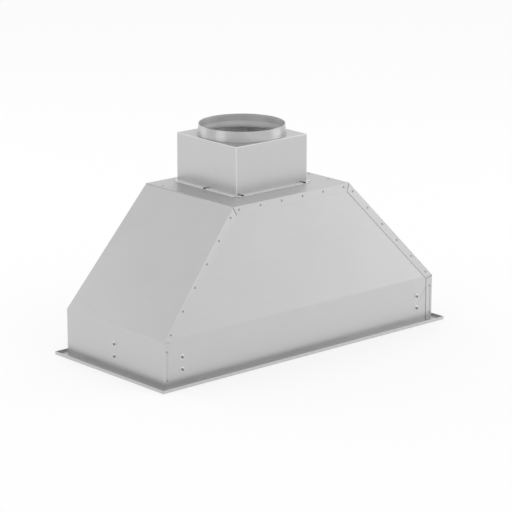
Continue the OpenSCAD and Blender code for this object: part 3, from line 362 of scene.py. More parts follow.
# Painted shade: the head of a screw is darker than its washer, for the shade in and round the head;
# the tree that turns it writes "head" on it
def paintShadeOnHeads(material, headShadeTone):
    tree = material.node_tree
    shader = tree.nodes["Principled BSDF"]
    tone = shader.inputs["Base Color"].links[0].from_socket
    marked = addNode(tree, "ShaderNodeAttribute", attribute_name="head")
    blend = blendTones(tree, marked.outputs["Fac"], tone, (*headShadeTone, 1))
    tree.links.new(blend, shader.inputs["Base Color"])


steelTone = (0.57, 0.57, 0.575)
recipes = {
    "brushedAcross": (brushedMetal, steelTone, 0),
    "brushedDeep": (brushedMetal, steelTone, 1),
    "brushedUp": (brushedMetal, steelTone, 2),
    "brushedRound": (brushedRoundMetal, (0.51, 0.51, 0.515)),
    # inner faces: a rougher mill finish, partly real, in a lighter tone that is painted light for
    # the shaded inside of the box and outlet
    "insideRound": (brushedRoundMetal, (0.70, 0.70, 0.70), (0.52, 0.64)),
    "millSteel": (smoothMetal, (0.82, 0.82, 0.82), (0.55, 0.68)),
    # painted shade: the cut edges of the sheets are near black, for the shadow lines along seams
    # and laps
    "cutEdge": (smoothMetal, (0.14, 0.14, 0.145), (0.5, 0.65)),
    # painted highlight: a lighter, smoother copy of the steel on the box's rounded bends, for the
    # light lines along its corners
    "bendSteel": (smoothMetal, (0.70, 0.70, 0.705), (0.34, 0.46)),
    "rivetSteel": (smoothMetal, (0.36, 0.36, 0.37)),
    "zincPlate": (smoothMetal, (0.78, 0.785, 0.80)),
    "blackOxide": (coated, (0.03, 0.03, 0.032), (0.3, 0.45)),
    "zincSheet": (spangledMetal, (0.50, 0.52, 0.54)),
    "filterSteel": (brushedMetal, (0.58, 0.58, 0.59), 1, (0.22, 0.34)),
    "filterFrame": (brushedMetal, (0.66, 0.66, 0.67), 0, (0.24, 0.36)),
    "phosphor": (coated, (0.86, 0.70, 0.24), (0.5, 0.65), 0.05),
    "polishedRod": (smoothMetal, (0.65, 0.65, 0.66), (0.08, 0.16)),
    "lampCasting": (smoothMetal, (0.70, 0.70, 0.71), (0.24, 0.36)),
    "lens": (frostedLens, (0.92, 0.93, 0.90)),
    "blackPlastic": (coated, (0.03, 0.03, 0.035)),
    "buttonSteel": (smoothMetal, (0.60, 0.60, 0.61), (0.18, 0.3)),
    "solderMask": (coated, (0.03, 0.16, 0.07), (0.25, 0.4), 0.2),
    "whitePlastic": (coated, (0.80, 0.80, 0.78), (0.35, 0.5), 0.04),
    "wheelSheet": (brushedMetal, (0.66, 0.67, 0.68), 0, (0.28, 0.4)),
    "groundSteel": (smoothMetal, (0.62, 0.62, 0.63), (0.1, 0.2)),
    "leafSheet": (brushedMetal, (0.70, 0.71, 0.72), 0, (0.3, 0.42)),
    "blackPaint": (coated, (0.03, 0.03, 0.035), (0.3, 0.42)),
    "rubber": (coated, (0.02, 0.02, 0.02), (0.6, 0.75)),
    "leadSheath": (coated, (0.03, 0.03, 0.03), (0.42, 0.55)),
}
finishes = {name: make(name, *values) for name, (make, *values) in recipes.items()}
# painted shade: the zinc screw heads are darker than their washers
paintShadeOnHeads(finishes["zincPlate"], (0.36, 0.36, 0.37))
# The finish that each of the record's slots takes unless a piece says otherwise
finishOfSlot = {
    "brushed_shell": "brushedAcross",
    "rivet_steel": "rivetSteel",
    "zinc_fasteners": "zincPlate",
    "black_screws": "blackOxide",
    "galvanised": "zincSheet",
    "filter_steel": "filterSteel",
    "handle_steel": "polishedRod",
    "lamp_metal": "lampCasting",
    "frosted_lens": "lens",
    "black_plastic": "blackPlastic",
    "button_steel": "buttonSteel",
    "board": "solderMask",
    "white_plastic": "whitePlastic",
    "wheel_aluminium": "wheelSheet",
    "ground_steel": "groundSteel",
    "leaf_aluminium": "leafSheet",
    "black_paint": "blackPaint",
    "rubber": "rubber",
    "lead_sheath": "leadSheath",
}
slotOf = {part["node"]: part["material_slot"] for part in frame["record"]["subparts"]}
for name, node in nodes.items():
    node.data.materials.clear()
    node.data.materials.append(finishes[finishOfSlot[slotOf[name]]])
print("materials made:", len(finishes))

# Sheet pieces: the node's own shape, with its folds rounded and its edges broken


def bodyOfNode(name):
    for body, members in frame["record"]["behaviour"]["bodies"].items():
        if name in members:
            return body


def newObject(name, shape):
    mesh = bpy.data.meshes.new(name)
    shape.to_mesh(mesh)
    shape.free()
    piece = bpy.data.objects.new(name, mesh)
    scene.collection.objects.link(piece)
    return piece


# The body that carries the piece, and the node that it stands for
def attach(piece, node):
    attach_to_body(piece, bodyOfNode(node))
    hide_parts(node)
    return piece


def finishPiece(piece, node, finish=None):
    piece.data.materials.clear()
    piece.data.materials.append(finishes[finish or finishOfSlot[slotOf[node]]])
    return attach(piece, node)


# Gives the inner side of a piece its own finish, partly a real rougher mill finish and partly
# painted light in its lighter tone: the faces that look at the middle of the duct
def finishInside(piece, finish, low, high):
    piece.data.materials.append(finishes[finish])
    last = len(piece.data.materials) - 1
    middle = (Vector(low) + Vector(high)) / 2
    for face in piece.data.polygons:
        inside = all(low[i] < face.center[i] < high[i] for i in range(3))
        if inside and face.normal.dot(middle - face.center) > 0:
            face.material_index = last


def mergedCopy(node):
    shape = bmesh.new()
    shape.from_mesh(nodes[node].data)
    bmesh.ops.remove_doubles(shape, verts=shape.verts, dist=tiny)
    bmesh.ops.dissolve_limit(
        shape, angle_limit=math.radians(sheetFolds["flatTurn"]),
        verts=shape.verts, edges=shape.edges,
    )
    return shape


sheetFolds = {
    "sheet": 1.2 * mm,
    "bend": 1.8 * mm,  # outside radius of a right-angled fold
    "edge": 0.22 * mm,
    "leastTurn": 6.0,
    "sharpTurn": 25.0,
    "hardTurn": 30.0,
    "flatTurn": 0.3,
    "leastWidth": 3.5 * mm,
    "leastEdge": 6.0 * mm,
    "segments": 4,
}


# A node's own shape with its folds rounded; extra finishes are for its cut ends, darkened as
# painted shade, and its bends, lightened as painted highlight
def foldedSheet(
    node, finish, bend=sheetFolds["bend"], edge=sheetFolds["edge"],
    endWidth=sheetFolds["leastWidth"], extra=(),
):
    values = sheetFolds
    shape = mergedCopy(node)
    # a cut end that runs round corners stays in simple pieces, so that it can't close the opening
    ends = [
        face for face in shape.faces
        if len(face.verts) > 4 and 2 * face.calc_area() / face.calc_perimeter() < endWidth
    ]
    bmesh.ops.triangulate(shape, faces=ends)
    weights = shape.edges.layers.float.new("bevel_weight_edge")
    for line in shape.edges:
        if len(line.link_faces) != 2:
            continue
        length = line.calc_length()
        turn = math.degrees(line.calc_face_angle_signed())
        if abs(turn) < values["leastTurn"] or length < values["leastEdge"]:
            line.smooth = abs(turn) < values["sharpTurn"]
            continue
        width = min(face.calc_area() for face in line.link_faces) / length
        if width > values["leastWidth"]:
            inner = max(bend - values["sheet"], edge) / bend
            line[weights] = 1.0 if turn > 0 else inner
        elif abs(turn) > values["sharpTurn"]:
            line[weights] = edge / bend
        else:
            line.smooth = True
    for face in shape.faces:
        face.smooth = True
        # the thin cut faces take the first extra finish, dark as painted shade
        if extra and 2 * face.calc_area() / face.calc_perimeter() < values["sheet"]:
            face.material_index = 1
    piece = newObject(node + "Skin", shape)
    rounding = piece.modifiers.new("folds", "BEVEL")
    # with two extra finishes, the rounded folds take the last one, a painted highlight
    rounding.material = len(extra) if len(extra) > 1 else -1
    rounding.limit_method = "WEIGHT"
    rounding.width = bend
    rounding.segments = values["segments"]
    rounding.use_clamp_overlap = False
    evenOut(piece)
    finishPiece(piece, node, finish)
    for name in extra:
        piece.data.materials.append(finishes[name])
    return piece


# Keeps the large faces flat to the light beside their rounded edges
def evenOut(piece):
    flat = piece.modifiers.new("flat", "WEIGHTED_NORMAL")
    flat.keep_sharp = True


def breakEdges(piece, width, angle, segments=2):
    rounding = piece.modifiers.new("edges", "BEVEL")
    rounding.limit_method = "ANGLE"
    rounding.angle_limit = math.radians(angle)
    rounding.width = width
    rounding.segments = segments
    evenOut(piece)


# A node's own shape with its edges broken, for cast, turned and plain parts
def softened(node, finish, width, segments=2):
    shape = mergedCopy(node)
    bent = math.radians(sheetFolds["hardTurn"])
    for line in shape.edges:
        line.smooth = len(line.link_faces) == 2 and line.calc_face_angle() < bent
    for face in shape.faces:
        face.smooth = True
    piece = newObject(node + "Skin", shape)
    breakEdges(piece, width, sheetFolds["hardTurn"], segments)
    return finishPiece(piece, node, finish)


for node in ("left_side_panel", "right_side_panel"):
    foldedSheet(node, "brushedDeep", extra=("cutEdge",))
foldedSheet("top_plate", "brushedAcross", extra=("cutEdge",))
for node in ("front_panel", "rear_panel"):
    foldedSheet(node, "brushedAcross", 0.8 * mm, extra=("cutEdge",))
boxLow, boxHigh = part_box("transition_box")
boxSkin = foldedSheet(
    "transition_box", "brushedUp", endWidth=16 * mm, extra=("cutEdge", "bendSteel")
)
halfSheet = Vector([sheetFolds["sheet"] / 2] * 3)
finishInside(boxSkin, "millSteel", boxLow + halfSheet, boxHigh - halfSheet)
for node in ("trim_front", "trim_rear"):
    softened(node, "brushedAcross", 0.35 * mm)
for node in ("trim_left", "trim_right"):
    softened(node, "brushedDeep", 0.35 * mm)
print("shell and trim folded")

# Geometry Nodes: small helpers, then the trees that make what repeats

socketKinds = {float: "NodeSocketFloat", int: "NodeSocketInt", tuple: "NodeSocketVector"}


# Starts a tree with named inputs, each with its usual value, and gives their sockets
def startTree(name, **inputs):
    tree = bpy.data.node_groups.new(name, "GeometryNodeTree")
    sides = tree.interface
    sides.new_socket("Geometry", in_out="INPUT", socket_type="NodeSocketGeometry")
    for label, value in inputs.items():
        socket = sides.new_socket(label, in_out="INPUT", socket_type=socketKinds[type(value)])
        socket.default_value = value
    sides.new_socket("Material", in_out="INPUT", socket_type="NodeSocketMaterial")
    sides.new_socket("Geometry", in_out="OUTPUT", socket_type="NodeSocketGeometry")
    return tree, addNode(tree, "NodeGroupInput").outputs


# Ends a tree: its instances become one mesh with one material
def endTree(tree, take, geometry):
    real = addNode(tree, "GeometryNodeRealizeInstances", {0: geometry})
    paint = addNode(tree, "GeometryNodeSetMaterial", {
        0: real.outputs[0], "Material": take["Material"],
    })
    addNode(tree, "NodeGroupOutput", {0: paint.outputs[0]})
    return tree


def grow(name, mesh, tree, values):
    host = bpy.data.objects.new(name, mesh)
    scene.collection.objects.link(host)
    modifier = host.modifiers.new("grow", "NODES")
    modifier.node_group = tree
    for item in tree.interface.items_tree:
        if item.in_out == "INPUT" and item.name in values:
            modifier[item.identifier] = values[item.name]
    made = host.evaluated_get(bpy.context.evaluated_depsgraph_get())
    solid = bpy.data.meshes.new_from_object(made)
    host.modifiers.remove(modifier)
    host.data = solid
    return host


def times(tree, first, second):
    return calculate(tree, "MULTIPLY", first, second)


def moved(tree, geometry, **changes):
    return addNode(tree, "GeometryNodeTransform", {0: geometry, **changes}).outputs[0]


def movedWhenReal(tree, geometry, **changes):
    real = addNode(tree, "GeometryNodeRealizeInstances", {0: geometry})
    return moved(tree, real.outputs[0], **changes)


def setPlace(tree, geometry, spot):
    links = {0: geometry, "Position": spot}
    return addNode(tree, "GeometryNodeSetPosition", links).outputs[0]


def spreadOver(tree, points, shape, **changes):
    return addNode(tree, "GeometryNodeInstanceOnPoints", {
        "Points": points, "Instance": shape, **changes,
    }).outputs[0]


def block(tree, size):
    return addNode(tree, "GeometryNodeMeshCube", {"Size": size}).outputs["Mesh"]


def rowPoints(tree, count, start, step):
    return addNode(tree, "GeometryNodeMeshLine", {
        "Count": count, "Start Location": start, "Offset": vector(tree, step),
    }).outputs[0]


# Points round Z or X, each turned by its own share of the round, and their angles
def ringPoints(tree, take, axis, shift=0.0):
    points = addNode(tree, "GeometryNodePoints", {"Count": take["Count"]})
    number = addNode(tree, "GeometryNodeInputIndex")
    place = calculate(tree, "ADD", number.outputs[0], shift)
    part = calculate(tree, "DIVIDE", place, take["Count"])
    angle = times(tree, part, 2 * math.pi)
    reach = [times(tree, calculate(tree, way, angle), take["Ring"]) for way in ("COSINE", "SINE")]
    spot = vector(tree, *reach) if axis == "Z" else vector(tree, 0.0, *reach)
    return setPlace(tree, points.outputs[0], spot), angle


def joinShapes(tree, *shapes):
    node = tree.nodes.new("GeometryNodeJoinGeometry")
    for shape in shapes:
        tree.links.new(shape, node.inputs[0])
    return node.outputs[0]


def cutShape(tree, shape, *cutters):
    node = addNode(tree, "GeometryNodeMeshBoolean", {0: shape}, operation="DIFFERENCE")
    for cutter in cutters:
        tree.links.new(cutter, node.inputs[1])
    return node.outputs[0]


# Fills a closed line and draws it out along Z into a solid
def drawnOut(tree, line, length):
    section = addNode(tree, "GeometryNodeFillCurve", {0: line}).outputs[0]
    drawn = addNode(tree, "GeometryNodeExtrudeMesh", {
        0: section, "Offset": vector(tree, z=length), "Individual": False,
    })
    back = addNode(tree, "GeometryNodeFlipFaces", {0: section})
    return addNode(tree, "GeometryNodeMergeByDistance", {
        0: joinShapes(tree, drawn.outputs[0], back.outputs[0]), "Distance": 0.001 * mm,
    }).outputs[0]


# Puts a shape on every point, with its own +Z along the point's "outward" direction
def setOnPoints(tree, points, shape, turn=None):
    outward = addNode(tree, "GeometryNodeInputNamedAttribute", {
        "Name": "outward",
    }, data_type="FLOAT_VECTOR").outputs[0]
    rotation = addNode(tree, "FunctionNodeAlignRotationToVector", {
        "Vector": outward,
    }, axis="Z").outputs[0]
    if turn is not None:
        spin = addNode(tree, "FunctionNodeAxisAngleToRotation", {"Axis": (0, 0, 1), "Angle": turn})
        rotation = addNode(tree, "FunctionNodeRotateRotation", {
            0: rotation, 1: spin.outputs[0],
        }, rotation_space="LOCAL").outputs[0]
    return spreadOver(tree, points, shape, Rotation=rotation)


# The loose solids of a node, each as its points and the way that its largest faces look
def looseSolids(node):
    shape = bmesh.new()
    shape.from_mesh(nodes[node].data)
    bmesh.ops.remove_doubles(shape, verts=shape.verts, dist=tiny)
    left = set(shape.verts)
    solids = []
    while left:
        group = [left.pop()]
        for vert in group:
            for line in vert.link_edges:
                other = line.other_vert(vert)
                if other in left:
                    left.remove(other)
                    group.append(other)
        areas = {}
        for face in {face for vert in group for face in vert.link_faces}:
            key = tuple(round(part, 2) for part in face.normal)
            areas[key] = areas.get(key, 0) + face.calc_area()
        axis = Vector(max(areas, key=areas.get)).normalized()
        solids.append(([vert.co.copy() for vert in group], axis))
    shape.free()
    return solids


# A turned solid's axis points from its shank to its head, and its seat is under the widest ring
def headSpots(node):
    spots = []
    for points, axis in looseSolids(node):
        middle = sum(points, Vector()) / len(points)
        along = [(point - middle).dot(axis) for point in points]
        reach = [((point - middle) - axis * level).length for point, level in zip(points, along)]
        wide = [level for level, width in zip(along, reach) if width > max(reach) - 0.05 * mm]
        if sum(wide) / len(wide) < (min(along) + max(along)) / 2:
            axis = -axis
            wide = [-level for level in wide]
        spots.append((middle + axis * min(wide), axis))
    return spots


def pointMesh(name, places):
    mesh = bpy.data.meshes.new(name)
    mesh.from_pydata([place for place, outward in places], [], [])
    directions = mesh.attributes.new("outward", "FLOAT_VECTOR", "POINT")
    for entry, (place, outward) in zip(directions.data, places):
        entry.vector = outward
    return mesh


# A turned head on the XY plane: a unit ball drawn towards a drum, flat underneath
def roundedHead(tree, radius, height, fullness, segments=20):
    ball = addNode(tree, "GeometryNodeMeshUVSphere", {
        "Segments": segments, "Rings": 10, "Radius": 1.0,
    })
    place = addNode(tree, "GeometryNodeInputPosition").outputs[0]
    split = addNode(tree, "ShaderNodeSeparateXYZ", {0: place}).outputs
    flat = vectorMath(tree, "MULTIPLY", place, (1, 1, 0))
    length = addNode(tree, "ShaderNodeVectorMath", {0: flat.outputs[0]}, operation="LENGTH")
    reach = calculate(tree, "MAXIMUM", length.outputs["Value"], 0.001)
    power = calculate(tree, "SUBTRACT", fullness, 1.0)
    wide = times(tree, calculate(tree, "POWER", reach, power), radius)
    up = calculate(tree, "POWER", calculate(tree, "MAXIMUM", split["Z"], 0.0), fullness)
    across = [times(tree, split[way], wide) for way in "XY"]
    return setPlace(tree, ball.outputs["Mesh"], vector(tree, *across, times(tree, up, height)))


# A bar along Z, from one height to another
def turnedBar(tree, radius, low, high, vertices=16):
    bar = addNode(tree, "GeometryNodeMeshCylinder", {
        "Vertices": vertices, "Radius": radius, "Depth": calculate(tree, "SUBTRACT", high, low),
    })
    middle = times(tree, calculate(tree, "ADD", low, high), 0.5)
    return moved(tree, bar.outputs["Mesh"], Translation=vector(tree, z=middle))


throughHead = 4 * mm  # how high the cutters of pits and sockets reach
crossArm = {"size": (4.4 * mm, 0.85 * mm, 2.6 * mm), "lift": (0, 0, 2.4 * mm)}


def rivetTree():
    tree, take = startTree(
        "rivetTree", Radius=2.7 * mm, Height=1.05 * mm, Shank=1.6 * mm, Tail=3.4 * mm,
        Dimple=1.0 * mm,
    )
    head = roundedHead(tree, take["Radius"], take["Height"], 0.75)
    pit = turnedBar(tree, take["Dimple"], times(tree, take["Height"], 0.72), throughHead, 12)
    tail = turnedBar(tree, take["Shank"], times(tree, take["Tail"], -1.0), 0.0)
    shape = joinShapes(tree, cutShape(tree, head, pit), tail)
    return endTree(tree, take, setOnPoints(tree, take["Geometry"], shape))


def screwTree():
    tree, take = startTree(
        "screwTree", Radius=3.8 * mm, Height=2.2 * mm, Rise=0.0, Shank=2.0 * mm, Tail=5.6 * mm,
        Washer=0.0, Socket=0.6 * mm, Seed=3,
    )
    head = roundedHead(tree, take["Radius"], take["Height"], 0.5)
    socket = turnedBar(tree, take["Socket"], 0.3 * mm, throughHead, 6)
    arms = [
        moved(
            tree, block(tree, crossArm["size"]),
            Translation=crossArm["lift"], Rotation=(0, 0, math.radians(turn)),
        )
        for turn in (0.0, 90.0)
    ]
    # the head is marked so that the zinc can take its painted shade there
    marked = addNode(tree, "GeometryNodeStoreNamedAttribute", {
        0: cutShape(tree, head, socket, *arms), "Name": "head", "Value": 1.0,
    }, data_type="FLOAT", domain="POINT")
    raised = moved(tree, marked.outputs[0], Translation=vector(tree, z=take["Rise"]))
    tail = turnedBar(tree, take["Shank"], times(tree, take["Tail"], -1.0), 0.3 * mm)
    washer = roundedHead(tree, take["Washer"], take["Rise"], 0.3, 28)
    shape = joinShapes(tree, raised, tail, washer)
    turn = addNode(tree, "FunctionNodeRandomValue", {
        2: 0.0, 3: math.pi, "Seed": take["Seed"],
    }, data_type="FLOAT")
    return endTree(tree, take, setOnPoints(tree, take["Geometry"], shape, turn.outputs[1]))


def nutTree():
    tree, take = startTree("nutTree", Radius=4.0 * mm, Height=3.2 * mm, Bore=2.15 * mm)
    hexagon = turnedBar(tree, take["Radius"], 0.0, take["Height"], 6)
    bore = turnedBar(tree, take["Bore"], -1 * mm, 8 * mm, 20)
    shape = cutShape(tree, hexagon, bore)
    return endTree(tree, take, setOnPoints(tree, take["Geometry"], shape))


def sharpen(piece, angle=32):
    piece.data.shade_smooth()
    piece.data.set_sharp_from_angle(angle=math.radians(angle))
    return piece


def fastened(node, tree, values):
    spots = pointMesh(node + "Spots", headSpots(node))
    finish = finishes[finishOfSlot[slotOf[node]]]
    piece = grow(node + "Turned", spots, tree, dict(values, Material=finish))
    return finishPiece(sharpen(piece), node)


rivetShape = {"Radius": 2.7 * mm, "Height": 1.05 * mm, "Tail": 3.4 * mm}
skirtScrewShape = {
    "Radius": 3.8 * mm, "Rise": 1.0 * mm, "Washer": 6.0 * mm, "Tail": 5.6 * mm, "Socket": 2.4 * mm,
}
boxScrewShape = {"Radius": 3.8 * mm, "Tail": 3.6 * mm, "Seed": 8}
blowerScrewShape = {"Radius": 3.8 * mm, "Tail": 2.4 * mm, "Seed": 5}
fastened("rivets", rivetTree(), rivetShape)
screws = screwTree()
fastened("skirt_screws", screws, skirtScrewShape)
fastened("box_screws", screws, boxScrewShape)
fastened("blower_screws", screws, blowerScrewShape)
fastened("skirt_nuts", nutTree(), {})
print("rivets, screws and nuts set")

# Turned pieces, each from its outline as [distance from the axis, place along the axis]


def lathe(name, outline, centre, steps=96, along="Z"):
    shape = bmesh.new()
    rings = []
    for radius, level in outline:
        if radius < tiny:
            rings.append([shape.verts.new((0, 0, level))])
            continue
        turns = [2 * math.pi * i / steps for i in range(steps)]
        spots = [(radius * math.cos(a), radius * math.sin(a), level) for a in turns]
        rings.append([shape.verts.new(spot) for spot in spots])
    pairs = list(zip(rings, rings[1:]))
    if len(rings[0]) > 1:
        pairs.append((rings[-1], rings[0]))
    for first, second in pairs:
        for i in range(steps):
            j = (i + 1) % steps
            corners = []
            for ring, k in ((first, i), (first, j), (second, j), (second, i)):
                vert = ring[k % len(ring)]
                if vert not in corners:
                    corners.append(vert)
            if len(corners) > 2:
                shape.faces.new(corners)
    bmesh.ops.recalc_face_normals(shape, faces=shape.faces)
    for vert in shape.verts:
        x, y, z = vert.co
        vert.co = {"X": (z, x, y), "Y": (y, z, x), "Z": (x, y, z)}[along]
    for vert in shape.verts:
        vert.co += Vector(centre)
    return newObject(name, shape)


# Rounds the corners of an outline: each is [x, y, radius]
def roundedOutline(corners, steps=4):
    points = []
    count = len(corners)
    for i, (x, y, radius) in enumerate(corners):
        here = Vector((x, y))
        back = Vector(corners[i - 1][:2]) - here
        ahead = Vector(corners[(i + 1) % count][:2]) - here
        if radius <= 0:
            points.append(tuple(here))
            continue
        half = back.angle(ahead) / 2
        run = min(radius / math.tan(half), 0.48 * back.length, 0.48 * ahead.length)
        start, end = here + back.normalized() * run, here + ahead.normalized() * run
        for k in range(steps + 1):
            t = k / steps
            points.append(tuple(start * (1 - t) ** 2 + here * (2 * t * (1 - t)) + end * t ** 2))
    return points


collarLow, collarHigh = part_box("duct_collar")
collar = {
    "centre": ((collarLow.x + collarHigh.x) / 2, (collarLow.y + collarHigh.y) / 2, boxHigh.z),
    "radius": 101.3 * mm,
    "mouth": 99.8 * mm,
    "tail": 99.3 * mm,
    "wall": 1.0 * mm,
    "height": 24.5 * mm,
    "bead": 0.8 * mm,
    "foot": -6.2 * mm,
    "drawnFrom": 7.5 * mm,  # the wall narrows from here, over the next length
    "drawnOver": 13 * mm,
    "drawnBend": 4 * mm,
    "rim": 0.42 * mm,
}


def ductCollar(c):
    r, mouth, tail, wall, top = c["radius"], c["mouth"], c["tail"], c["wall"], c["height"]
    foot, bead, bend, rim = c["foot"], r + c["bead"], c["drawnBend"], c["rim"]
    low, high = c["drawnFrom"], c["drawnFrom"] + c["drawnOver"]
    outline = roundedOutline([
        (tail - wall, foot, 0.3 * mm), (tail, foot, 0.3 * mm), (tail, 0, 0.2 * mm),
        (bead, 0, 0.3 * mm), (bead, 1.5 * mm, 0.8 * mm), (r, 1.6 * mm, 0.4 * mm),
        (r, low, bend), (mouth, high, bend), (mouth, top, rim), (mouth - wall, top, rim),
        (mouth - wall, high, bend), (r - wall, low, bend), (tail - wall, -1 * mm, 3 * mm),
    ])
    return sharpen(lathe("ductCollarWall", outline, c["centre"], 144), 40)


collarWall = finishPiece(ductCollar(collar), "duct_collar", "brushedRound")
finishInside(collarWall, "insideRound", collarLow, collarHigh + Vector((0, 0, 1 * mm)))

# Underside: folded panels, lamps and buttons

for node in ("light_panel", "grease_channel"):
    foldedSheet(node, "brushedAcross", 1.6 * mm)
for node in ("side_rail_left", "side_rail_right"):
    foldedSheet(node, "brushedDeep", 1.6 * mm)
foldedSheet("filter_divider", "brushedDeep", 1.4 * mm)
foldedSheet("electronics_cover", "zincSheet", 1.8 * mm)
foldedSheet("filter_clips", "groundSteel", 1.2 * mm, 0.15 * mm)


# A round rod swept along a route whose corners are rounded
def sweptRod(name, route, radius, bend, steps):
    cornerSteps = 8
    points = [Vector(route[0])]
    for before, here, after in zip(route, route[1:], route[2:]):
        here = Vector(here)
        back, ahead = Vector(before) - here, Vector(after) - here
        run = min(bend, 0.45 * back.length, 0.45 * ahead.length)
        start, end = here + back.normalized() * run, here + ahead.normalized() * run
        middle = here + (back.normalized() + ahead.normalized()) * run
        for k in range(cornerSteps + 1):
            turn = k / cornerSteps * math.pi / 2
            points.append(
                middle + (start - middle) * math.cos(turn) + (end - middle) * math.sin(turn)
            )
    points.append(Vector(route[-1]))
    shape = bmesh.new()
    way = (points[1] - points[0]).normalized()
    side = way.orthogonal().normalized()
    rings = []
    for i, point in enumerate(points):
        nextWay = (points[min(i + 1, len(points) - 1)] - points[max(i - 1, 0)]).normalized()
        side = way.rotation_difference(nextWay) @ side
        way = nextWay
        other = way.cross(side)
        turns = [2 * math.pi * k / steps for k in range(steps)]
        spots = [point + (side * math.cos(t) + other * math.sin(t)) * radius for t in turns]
        rings.append([shape.verts.new(spot) for spot in spots])
    for first, second in zip(rings, rings[1:]):
        for k in range(steps):
            j = (k + 1) % steps
            shape.faces.new((first[k], first[j], second[j], second[k]))
    shape.faces.new(reversed(rings[0]))
    shape.faces.new(rings[-1])
    bmesh.ops.recalc_face_normals(shape, faces=shape.faces)
    return newObject(name, shape)


def cubeShape(low, high):
    shape = bmesh.new()
    bmesh.ops.create_cube(shape, size=1)
    middle, size = (Vector(low) + Vector(high)) / 2, Vector(high) - Vector(low)
    for vert in shape.verts:
        vert.co = Vector(a * b for a, b in zip(vert.co, size)) + middle
    return shape


# A box with broken edges, between two corners
def softBox(name, low, high, edge, segments):
    shape = cubeShape(low, high)
    bmesh.ops.bevel(
        shape, geom=shape.edges[:], offset=edge, segments=segments, profile=0.5, affect="EDGES"
    )
    return newObject(name, shape)


def joinPieces(name, pieces):
    shape = bmesh.new()
    for piece in pieces:
        shape.from_mesh(piece.data)
        bpy.data.objects.remove(piece)
    return newObject(name, shape)


lampShape = {
    "wall": 2.5 * mm, "body": 29.5 * mm, "flange": 1.5 * mm, "ledge": 2 * mm, "well": 18 * mm,
    "chip": 3.0 * mm, "chipRing": 14 * mm, "chips": 8, "chipDepth": 3.0 * mm,
}


def lampHousing(side, v):
    node = "lamp_housing_" + side
    low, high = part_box(node)
    lensLow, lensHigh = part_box("lamp_lens_" + side)
    centre = ((low.x + high.x) / 2, (low.y + high.y) / 2, low.z)
    outer, body, flange = (high.x - low.x) / 2, v["body"], v["flange"]
    inner = body - v["wall"]
    ledge = inner - v["ledge"]
    top = high.z - low.z
    roof = top - v["wall"]
    seat = lensHigh.z - low.z
    outline = roundedOutline([
        (inner, 0, 0.4 * mm), (outer, 0, 1.0 * mm), (outer, flange, 0.3 * mm), (body, flange, 0),
        (body, top, 1.2 * mm), (0.4 * mm, top, 0), (0.4 * mm, roof, 0), (v["well"], roof, 3 * mm),
        (ledge, seat + v["ledge"], 1.0 * mm), (ledge, seat, 0), (inner, seat, 0),
    ])
    finishPiece(sharpen(lathe(node + "Can", outline, centre)), node)
    # the lens is a shallow dish with a rounded rim
    rim = (lensHigh.x - lensLow.x) / 2
    thick = lensHigh.z - lensLow.z
    dish = [
        (0, 0), (0.35 * rim, -0.12 * mm), (0.7 * rim, -0.08 * mm), (0.9 * rim, 0.05 * mm),
        (rim - 0.15 * mm, 0.25 * mm), (rim, 0.7 * mm), (rim, thick - 0.2 * mm),
        (rim - 0.3 * mm, thick), (0, thick),
    ]
    lens = lathe("lampLens" + side, dish, (centre[0], centre[1], lensLow.z))
    finishPiece(sharpen(lens), "lamp_lens_" + side)
    return centre, top


def chipTree():
    tree, take = startTree("chipTree", Count=8, Ring=14 * mm, Chip=3 * mm)
    rings = [
        addNode(tree, "GeometryNodeMeshCircle", {"Vertices": count, "Radius": radius}).outputs[0]
        for count, radius in ((take["Count"], take["Ring"]), (4, times(tree, take["Ring"], 0.45)))
    ]
    chip = block(tree, vector(tree, take["Chip"], take["Chip"], times(tree, take["Chip"], 0.3)))
    return endTree(tree, take, spreadOver(tree, joinShapes(tree, *rings), chip))


chips = chipTree()
for side in ("left", "right"):
    centre, top = lampHousing(side, lampShape)
    name = "lampChips" + side
    group = grow(name, bpy.data.meshes.new(name), chips, {
        "Count": lampShape["chips"], "Ring": lampShape["chipRing"], "Chip": lampShape["chip"],
        "Material": finishes["phosphor"],
    })
    for vert in group.data.vertices:
        vert.co += Vector((centre[0], centre[1], centre[2] + top - lampShape["chipDepth"]))
    attach(group, "lamp_housing_" + side)

softened("control_bezel", None, 0.7 * mm, 3)
button = {
    "cap": 8.0 * mm, "flange": 9.5 * mm, "stem": 3.0 * mm, "dish": 0.35 * mm,
    "under": 3.6 * mm, "over": 4.8 * mm,  # the flange's lower and upper side
}
buttonNames = ("power", "slower", "faster", "timer", "light")


def pushButton(name, v):
    node = "button_" + name
    low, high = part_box(node)
    cap, flange, stem, dish = v["cap"], v["flange"], v["stem"], v["dish"]
    under, over, tall = v["under"], v["over"], high.z - low.z
    outline = roundedOutline([
        (0.2 * mm, dish, 0), (cap * 0.62, dish * 0.7, 0.6 * mm), (cap * 0.7, 0, 0.3 * mm),
        (cap - 0.1 * mm, 0, 0.7 * mm), (cap, 1.0 * mm, 0), (cap, under, 0),
        (flange, under, 0.2 * mm), (flange, over, 0.2 * mm),
        (stem, over, 0.3 * mm), (stem, tall, 0.4 * mm), (0.2 * mm, tall, 0),
    ], 3)
    outline = [(0, dish)] + outline + [(0, tall)]
    centre = ((low.x + high.x) / 2, (low.y + high.y) / 2, low.z)
    finishPiece(sharpen(lathe("button" + name.capitalize(), outline, centre, 64)), node)


for name in buttonNames:
    pushButton(name, button)
print("underside, lamps and buttons made")

# Filters: folded frames, two layers of baffles and a bent handle each

filterShape = {
    "sheet": 0.8 * mm, "slatWidth": 26 * mm, "slatHeight": 6 * mm, "pitch": 34 * mm,
    "bend": 1.3 * mm,
}


